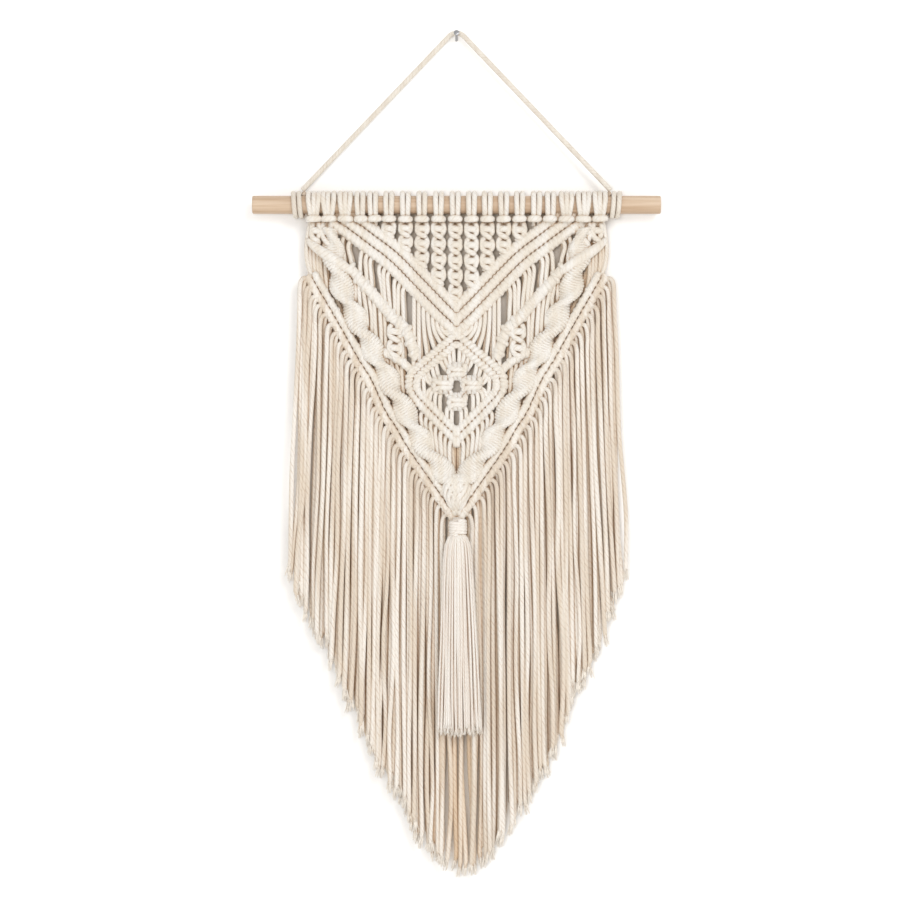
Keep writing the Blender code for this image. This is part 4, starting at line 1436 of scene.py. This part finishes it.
def panel_cords(side, rng):
    """The single cords of one side, layer by layer."""
    chain = smooth(LONG_CHAIN.line, LINE_STEP)
    short = smooth(SHORT_CHAIN.line, LINE_STEP)
    band = smooth(TWIST_LINE, LINE_STEP)
    band_edge = offset_line(band, BAND_EDGE)
    v_edge = offset_line(smooth(MAIN_V.line, LINE_STEP), V_EDGE)
    diamond_edge = offset_line(smooth(DIAMOND_TOP.line, LINE_STEP), DIAMOND_EDGE)
    foot_edge = offset_line(smooth(DIAMOND_FOOT.line, LINE_STEP), FOOT_EDGE)
    routes = []
    stretches = ((V_CORDS, v_edge, chain), (CHAIN_CORDS, chain, band_edge), (FOOT_CORDS, foot_edge, band))
    for (cords, above, below), shift in zip(stretches, BACK_CORD_SHIFTS):
        for top, bottom, depth in cords:
            routes.append(hung_cord(side, top, bottom, above, below, depth, rng))
            top, bottom = top - shift, bottom - shift
            routes.append(hung_cord(side, top, bottom, above, below, depth - BACK_CORD_DEPTH, rng))
    stretches = ((SHORT_CHAIN_CORDS, chain, short), (SHORT_CHAIN_ENDS, short, band_edge))
    for (outs, layers), above, below in stretches:
        for out in outs:
            for top, bottom, depth in layers:
                routes.append(hung_cord(side, out - top, out - bottom, above, below, depth, rng))
    for top, drawn in FAN_CORDS:
        for shift, depth in FAN_LAYERS:
            routes.append(fan_cord(side, top, drawn, v_edge, diamond_edge, shift, depth))
    for points in DIAMOND_CORDS:
        routes.append(cord_through(points, side, 2.5))
    for out, start, end in SHADED_CORDS:
        bow = rng.uniform(-1.0, 1.5)
        inwards, behind = SHADED_BACK
        points = (
            (out - 3, start, 9.0),
            (out + bow * 0.6, start + 10, 10.6),
            (out + bow, (start + end) / 2 + 4, 10.6),
            (out - 3, end, 9.4),
            (out - 5, end + 4, 8.0),
        )
        routes.append(cord_through(points, side))
        routes.append(cord_through([(u - inwards, v, w - behind) for u, v, w in points], side))
    routes += [cord_through(points, side) for points in (EDGE_LOOP, BEHIND_FOOT)]
    top, bottom = BEHIND_BANDS_DROP
    for distance in BEHIND_BANDS:
        line = [p for p in offset_line(band, distance) if top <= p.y <= bottom]
        routes.append(([place(side * p.x, p.y, BEHIND_BANDS_DEPTH) for p in line], False))
    return routes


class HANGING_OT_panel_cords(bpy.types.Operator):
    """The single cords between the knotted rows"""

    bl_idname = "hanging.panel_cords"
    bl_label = "Single cords"

    def execute(self, context):
        rng = random.Random(context.scene.hanging_sizes.seed + 3)
        routes = panel_cords(-1, rng) + panel_cords(1, rng)
        cords = swept("cords", routes, cord_radius(context) * SINGLE_CORD_SHARE)
        panel_piece("single_cords", joined("single_cords", [cords]))
        return {"FINISHED"}


class HANGING_OT_berry(bpy.types.Operator):
    """The berry knot where the twisted bands meet, and the cords that leave it"""

    bl_idname = "hanging.berry"
    bl_label = "Berry knot"

    def execute(self, context):
        half_wide, half_deep, half_high = BERRY_HALF
        routes = []
        for k in range(BERRY_CORDS):
            around = math.tau * (k + 0.5) / BERRY_CORDS
            points = []
            for i in range(BERRY_STEPS + 1):
                share = i / BERRY_STEPS
                belly = math.sin(math.pi * (0.1 + 0.8 * share)) ** BERRY_FULLNESS
                turn = around + BERRY_TWIST * (share - 0.5)
                points.append(
                    place(
                        half_wide * belly * math.cos(turn),
                        BERRY_DROP + half_high * (2 * share - 1),
                        BERRY_DEPTH + half_deep * belly * math.sin(turn),
                        1.1,
                    )
                )
            points.append(
                place(
                    2.4 * math.cos(around + 0.8),
                    BERRY_DROP + half_high + 6,
                    BERRY_DEPTH - 2 + 1.6 * math.sin(around + 0.8),
                    0.9,
                )
            )
            routes.append(open_route(points, 2))
        for side in (-1, 1):
            for drop, depth in BERRY_RIDGES:
                points = []
                for out, down, forward, over in BERRY_RIDGE:
                    spot = BERRY_DROP + drop + down
                    points.append(place(side * out, spot, depth + forward + over * side))
                routes.append(open_route(points, 2))
            for out, bend in BERRY_LEGS:
                points = (
                    (bend, BERRY_DROP + 8, 17.0),
                    (out, BERRY_DROP + 14, 16.4),
                    (out * 0.5, BERRY_DROP + 20, 14.0),
                    (out * 0.4, BERRY_DROP + 26, 11.6),
                )
                routes.append(cord_through(points, side, 2.0))
        ball = [place(0, BERRY_DROP + drop, BERRY_DEPTH, share) for drop, share in BERRY_BALL]
        cords = swept("cords", routes, cord_radius(context))
        filling = swept("ball", [(ball, False)], 1.0, sides=16)
        panel_piece("berry_knot", joined("berry_knot", [cords, filling]))
        return {"FINISHED"}


# ---- fringe ----


def fringe_cord(root, out, tip, side, depth, thick, rng):
    """A fringe cord's line: out from its knot, over in a small arch, then down to its cut end."""
    reach = out - root.x
    rise = astray(rng, 0.8)
    arch = [
        (root.x + reach * 0.1, root.y + 1.0, PANEL_DEPTH - 2.5 + (depth - PANEL_DEPTH) * 0.3, 1.0),
        (root.x + reach * 0.5, root.y - 0.6 + rise, (PANEL_DEPTH + depth) / 2, 1.0),
        (root.x + reach * 0.83, root.y + 2.2 + rise, depth, 1.0),
        (out - 0.3, root.y + 8.0 + rise, depth + 0.2, thick),
        (out, root.y + 15.0, depth, thick),
    ]
    start = root.y + FRINGE_ARCH
    count = max(3, round((tip - start) / FRINGE_STEP))
    loose = 1 / thick**2
    phase, pace = rng.uniform(0, math.tau), rng.uniform(*FRINGE_PACES)
    swing = rng.uniform(*FRINGE_SWINGS) * loose
    end_out = out + FRINGE_SPLAY * out / FRINGE_TOP_OUT + astray(rng, FRINGE_DRIFT) * loose
    share_of_cord = thick * rng.uniform(0.9, 1.12)
    pull = -CLUMP_PULL * loose * math.sin(math.tau * out / CLUMP_WIDTH + 0.9 * math.sin(out / 19))
    fall = [arch[-1]]
    for k in range(count + 1):
        share = k / count
        wave = swing * math.sin(phase + share * pace) * (0.25 + share)
        across = out + (end_out - out) * share + wave + pull * min(1.0, 3 * share)
        here = share_of_cord * rng.uniform(0.92, 1.08)
        fall.append((across, start + (tip - start) * share, depth + wave * 0.5, here))
    flick = astray(rng, 1.6)
    fall.append((fall[-1][0] + flick, tip + 7, fall[-1][2] + astray(rng, 1), 0.7))
    arch = smooth([place(side * u, v, w, t) for u, v, w, t in arch], 2 * MM)
    fall = smooth([place(side * u, v, w, t) for u, v, w, t in fall], 8 * MM)
    return arch[:-1] + fall


def frayed_end(line, radius, rng, count, spread, length):
    """Loose fibres that spread from a cut end."""
    end, before = line[-1], line[-2]
    along = (end - before).normalized()
    fibres = []
    for _ in range(count):
        angle = rng.uniform(0, math.tau)
        reach = radius * rng.uniform(0.1, 0.95) * MM
        start = end - along * (3 * MM) + Vector((math.cos(angle), math.sin(angle), 0, 0)) * reach
        away = Vector((math.cos(angle), math.sin(angle) * 0.6, 0, 0)) * (rng.uniform(0.0, spread) * MM)
        tip = start + away + along * (rng.uniform(0.5, 1.0) * length * MM)
        middle = start.lerp(tip, 0.55) - away * 0.2
        start[3], middle[3], tip[3] = 1.0 * MM, 1.0 * MM, 0.6 * MM
        fibres.append(([start, middle, tip], False))
    return fibres


class HANGING_OT_fringe(bpy.types.Operator):
    """The outer V's lowest row with the long cords that hang from it"""

    bl_idname = "hanging.fringe"
    bl_label = "Fringe"

    def execute(self, context):
        sizes = context.scene.hanging_sizes
        rng = random.Random(sizes.seed + 4)
        _, outer = outer_rows()
        marks = lengths(outer)
        radius = sizes.fringe_cord / 2 / MM
        for side, word in SIDES:
            tips = smooth(TIPS[side], 8.0)
            cords, fibres = [], []
            for layer, (count, forward, shift, thick) in enumerate(FRINGE_LAYERS):
                for k in range(count):
                    root, _ = at_length(outer, marks, marks[-1] * (k + 0.3 + 0.2 * layer) / count)
                    reach = FRINGE_REACH - shift
                    if shift:
                        reach *= min(1.0, 0.3 + root.x / 40)
                    out = root.x + reach + astray(rng, 1.2)
                    back = min(1.0, max(0.0, (BEHIND_TASSEL_OUT - out) / BEHIND_TASSEL_RUN))
                    depth = PANEL_DEPTH + forward + astray(rng, 1.3)
                    depth -= BEHIND_TASSEL_SHARE * back * (depth - BEHIND_TASSEL_DEPTH)
                    tip = level(tips, out * (1 + FRINGE_SPLAY / FRINGE_TOP_OUT)) - 4
                    tip -= rng.uniform(0, CUT_SPREAD) * min(1.0, 0.3 + out / 60) + shift
                    line = fringe_cord(root, out, tip, side, depth, thick - (thick - 1.0) * back, rng)
                    cords.append((line, False))
                    fibres += frayed_end(line, radius, rng, *FRINGE_FRAY)
            name = f"fringe_cords_{word}"
            row = hitched_rows("row", [outer], OUTER_HITCHES, cord_radius(context), rng, (side,))
            mesh = joined(name, [row, swept("cords", cords, radius)])
            piece(name, mesh, finish_of("fringe cord"), "fringe_cord", f"fringe_{word}")
            name = f"fringe_ends_{word}"
            mesh = joined(name, [swept("fibres", fibres, FRINGE_FIBRE, sides=4)])
            piece(name, mesh, finish_of("cut ends"), "fringe_cord", f"fringe_{word}")
        return {"FINISHED"}


# ---- tassel ----


class HANGING_OT_tassel(bpy.types.Operator):
    """The tassel under the V's point: its bound head and its skirt of threads"""

    bl_idname = "hanging.tassel"
    bl_label = "Tassel"

    def execute(self, context):
        sizes = context.scene.hanging_sizes
        rng = random.Random(sizes.seed + 5)
        first, last = TASSEL_WRAP
        half_wide, half_deep = TASSEL_HEAD
        turns, necks = [], []
        steps = TASSEL_TURN_STEPS * TASSEL_TURNS
        for i in range(steps + 1):
            share = i / steps
            around = math.tau * TASSEL_TURNS * share
            bulge = 1.0 + TASSEL_HEAD_BULGE * math.sin(math.pi * share)
            across = TASSEL_SHIFT + half_wide * bulge * math.sin(around)
            depth = TASSEL_DEPTH + half_deep * bulge * math.cos(around)
            turns.append(place(across, first + (last - first) * share, depth))
        for i in range(TASSEL_NECKS):
            around = math.tau * (i + 0.5) / TASSEL_NECKS
            u, v = math.cos(around), math.sin(around)
            points = (
                (2.0 * u, 485.5, 17.0 + 1.6 * v),
                (TASSEL_SHIFT + 4.2 * u, 489.0, TASSEL_DEPTH - 1.5 + 3 * v),
                (TASSEL_SHIFT + 4.4 * u, 508.0, TASSEL_DEPTH + 3 * v),
            )
            necks.append(([place(*spot) for spot in points], False))
        threads, fibres = [], []
        radius = sizes.tassel_thread / 2 / MM
        for i in range(TASSEL_THREADS):
            around = math.tau * (i * TASSEL_GOLDEN)
            reach = math.sqrt((i + 0.5) / TASSEL_THREADS)
            u, v = reach * math.cos(around), reach * math.sin(around)
            wander = astray(rng, 0.9)
            line = []
            for drop, half_wide, half_deep, lean in TASSEL_SKIRT:
                sway = wander * math.sin((drop - 500) / 28 + i) * (drop - 495) / 160
                across = TASSEL_SHIFT + lean + half_wide * u + sway
                line.append(place(across, drop, TASSEL_DEPTH + half_deep * v))
            half_wide, half_deep, lean = TASSEL_TIP_HALF
            tip = TASSEL_TIP - rng.uniform(0, 9) - 3 * abs(u)
            across = TASSEL_SHIFT + lean + half_wide * u + astray(rng, 1)
            line.append(place(across, tip, TASSEL_DEPTH + half_deep * v))
            line = smooth(line, 9 * MM)
            threads.append((line, False))
            fibres += frayed_end(line, radius, rng, *TASSEL_FRAY)
        head = swept("turns", [open_route(turns, 1.6), *necks], TASSEL_TURN)
        mesh = joined("tassel_threads", [head, swept("threads", threads, radius, sides=6)])
        piece("tassel_threads", mesh, finish_of("tassel cord"), "fringe_cord", "tassel")
        mesh = joined("tassel_ends", [swept("fibres", fibres, TASSEL_FIBRE, sides=4)])
        piece("tassel_ends", mesh, finish_of("cut ends"), "fringe_cord", "tassel")
        return {"FINISHED"}


# ---- dowel and nail ----


def turned(profile, segments, matrix):
    """A solid turned round its X axis from a profile of (along, radius), which starts and ends there."""
    built = bmesh.new()
    line = [built.verts.new((along * MM, 0, radius * MM)) for along, radius in profile]
    edges = [built.edges.new(pair) for pair in zip(line, line[1:])]
    bmesh.ops.spin(
        built,
        geom=line + edges,
        cent=(0, 0, 0),
        axis=(1, 0, 0),
        angle=math.tau,
        steps=segments,
        use_merge=True,
    )
    bmesh.ops.remove_doubles(built, verts=built.verts, dist=MERGE_DISTANCE)
    bmesh.ops.recalc_face_normals(built, faces=built.faces)
    bmesh.ops.transform(built, matrix=matrix, verts=built.verts)
    mesh = bpy.data.meshes.new("turned")
    built.to_mesh(mesh)
    built.free()
    return mesh


class HANGING_OT_dowel(bpy.types.Operator):
    """The wooden dowel, with sanded edges"""

    bl_idname = "hanging.dowel"
    bl_label = "Dowel"

    def execute(self, context):
        half, radius = DOWEL_HALF_LENGTH, DOWEL_RADIUS
        quarter = [(half, 0.0)] + [(half - inwards, radius - less) for inwards, less in DOWEL_EDGE]
        profile = [(-along, reach) for along, reach in quarter] + quarter[::-1]
        middle = place(0, DOWEL_DROP, DOWEL_DEPTH).to_3d()
        mesh = turned(profile, DOWEL_SEGMENTS, Matrix.Translation(middle))
        piece("dowel_rod", mesh, finish_of("pale wood"), "dowel_wood", "dowel")
        return {"FINISHED"}


class HANGING_OT_nail(bpy.types.Operator):
    """The nail that stands out of the wall, tilted up, with a low domed head"""

    bl_idname = "hanging.nail"
    bl_label = "Nail"

    def execute(self, context):
        tilt = math.radians(NAIL_TILT)
        along = Vector((0, -math.cos(tilt), math.sin(tilt)))
        right = Vector((1, 0, 0))
        up = along.cross(right)
        matrix = Matrix((along, right, up)).transposed().to_4x4()
        mesh = turned(NAIL_PROFILE, NAIL_SEGMENTS, matrix)
        piece("nail_pin", mesh, finish_of("nail steel"), "nail_steel", "nail")
        return {"FINISHED"}


# ---- stage ----

PICTURE_MIDDLE = (-0.5, 423.0)  # across and drop, in millimetres
# In metres: the middle and half size of the wall and the floor, and each light's size and place.
WALL_MIDDLE, WALL_SIZE = (0, 0.0015, -0.4), 3.0
FLOOR_MIDDLE, FLOOR_SIZE = (0, -2.0, -1.4), 4.0
LIGHT_AIM = (0, 0, -0.4)
KEY_LIGHT = (1.1, (1.0, -2.6, 0.9))
FILL_LIGHT = (0.8, (-0.3, -3.2, -0.3))


def sheet_of_stage(name, size, matrix, finish):
    """A flat sheet behind or under the object."""
    built = bmesh.new()
    bmesh.ops.create_grid(built, x_segments=1, y_segments=1, size=size, matrix=matrix)
    mesh = bpy.data.meshes.new(name)
    built.to_mesh(mesh)
    built.free()
    mesh.materials.append(finish)
    obj = bpy.data.objects.new(name, mesh)
    bpy.context.scene.collection.objects.link(obj)


def soft_light(name, power, size, spot):
    """A round light that shines on the middle of the object."""
    light = bpy.data.lights.new(name, "AREA")
    light.shape = "DISK"
    light.size = size
    light.energy = power
    obj = bpy.data.objects.new(name, light)
    obj.location = spot
    obj.rotation_euler = (Vector(LIGHT_AIM) - Vector(spot)).to_track_quat("-Z", "Y").to_euler()
    bpy.context.scene.collection.objects.link(obj)


class HANGING_OT_camera(bpy.types.Operator):
    """The camera, straight in front of the panel"""

    bl_idname = "hanging.camera"
    bl_label = "Camera"

    def execute(self, context):
        settings = context.scene.hanging_stage
        camera = bpy.data.objects.new("camera", bpy.data.cameras.new("camera"))
        middle = place(*PICTURE_MIDDLE, 0).to_3d()
        camera.location = middle + Vector((0, -settings.camera_distance, 0))
        camera.rotation_euler = (math.pi / 2, 0, 0)
        reach = settings.camera_distance - PANEL_DEPTH * MM
        camera.data.angle = 2 * math.atan(settings.picture_width / 2 / reach)
        context.scene.collection.objects.link(camera)
        context.scene.camera = camera
        return {"FINISHED"}


class HANGING_OT_stage(bpy.types.Operator):
    """The wall behind the object, the floor and the lights"""

    bl_idname = "hanging.stage"
    bl_label = "Stage"

    def execute(self, context):
        settings = context.scene.hanging_stage
        facing = Matrix.Rotation(math.pi / 2, 4, "X")
        facing.translation = WALL_MIDDLE
        sheet_of_stage("wall", WALL_SIZE, facing, finish_of("wall paint"))
        sheet_of_stage("floor", FLOOR_SIZE, Matrix.Translation(FLOOR_MIDDLE), finish_of("floor paint"))
        soft_light("key light", settings.key_power, *KEY_LIGHT)
        soft_light("fill light", settings.fill_power, *FILL_LIGHT)
        world = bpy.data.worlds.new("sky")
        world.use_nodes = True
        sky = world.node_tree.nodes["Background"]
        sky.inputs["Color"].default_value = (1.0, 1.0, 1.0, 1.0)
        sky.inputs["Strength"].default_value = settings.sky
        context.scene.world = world
        context.scene.view_settings.view_transform = "Standard"
        context.scene.view_settings.look = "None"
        return {"FINISHED"}


# ---- panel and registration ----

OPERATORS = (
    HANGING_OT_camera,
    HANGING_OT_hanger,
    HANGING_OT_wraps,
    HANGING_OT_heading,
    HANGING_OT_hitched_rows,
    HANGING_OT_square_knots,
    HANGING_OT_twisted_bands,
    HANGING_OT_panel_cords,
    HANGING_OT_berry,
    HANGING_OT_fringe,
    HANGING_OT_tassel,
    HANGING_OT_dowel,
    HANGING_OT_nail,
    HANGING_OT_stage,
)


class HANGING_PT_panel(bpy.types.Panel):
    """Lists the sizes, the colours and the pieces"""

    bl_idname = "HANGING_PT_panel"
    bl_label = "Wall hanging"
    bl_space_type = "VIEW_3D"
    bl_region_type = "UI"
    bl_category = "Wall hanging"

    def draw(self, context):
        scene = context.scene
        for group in (scene.hanging_sizes, scene.hanging_colors, scene.hanging_stage):
            column = self.layout.column()
            for name in group.__annotations__:
                column.prop(group, name)
        for operator in OPERATORS:
            self.layout.operator(operator.bl_idname)


GROUPS = {
    "hanging_sizes": HangingSizes,
    "hanging_colors": HangingColors,
    "hanging_stage": StageSettings,
}


def register():
    for made in (*GROUPS.values(), *OPERATORS, HANGING_PT_panel):
        bpy.utils.register_class(made)
    for name, group in GROUPS.items():
        setattr(bpy.types.Scene, name, PointerProperty(type=group))


def unregister():
    for name in GROUPS:
        delattr(bpy.types.Scene, name)
    for made in reversed((*GROUPS.values(), *OPERATORS, HANGING_PT_panel)):
        bpy.utils.unregister_class(made)


def main():
    register()
    for operator in OPERATORS:
        family, name = operator.bl_idname.split(".")
        getattr(getattr(bpy.ops, family), name)()


if __name__ == "__main__":
    main()
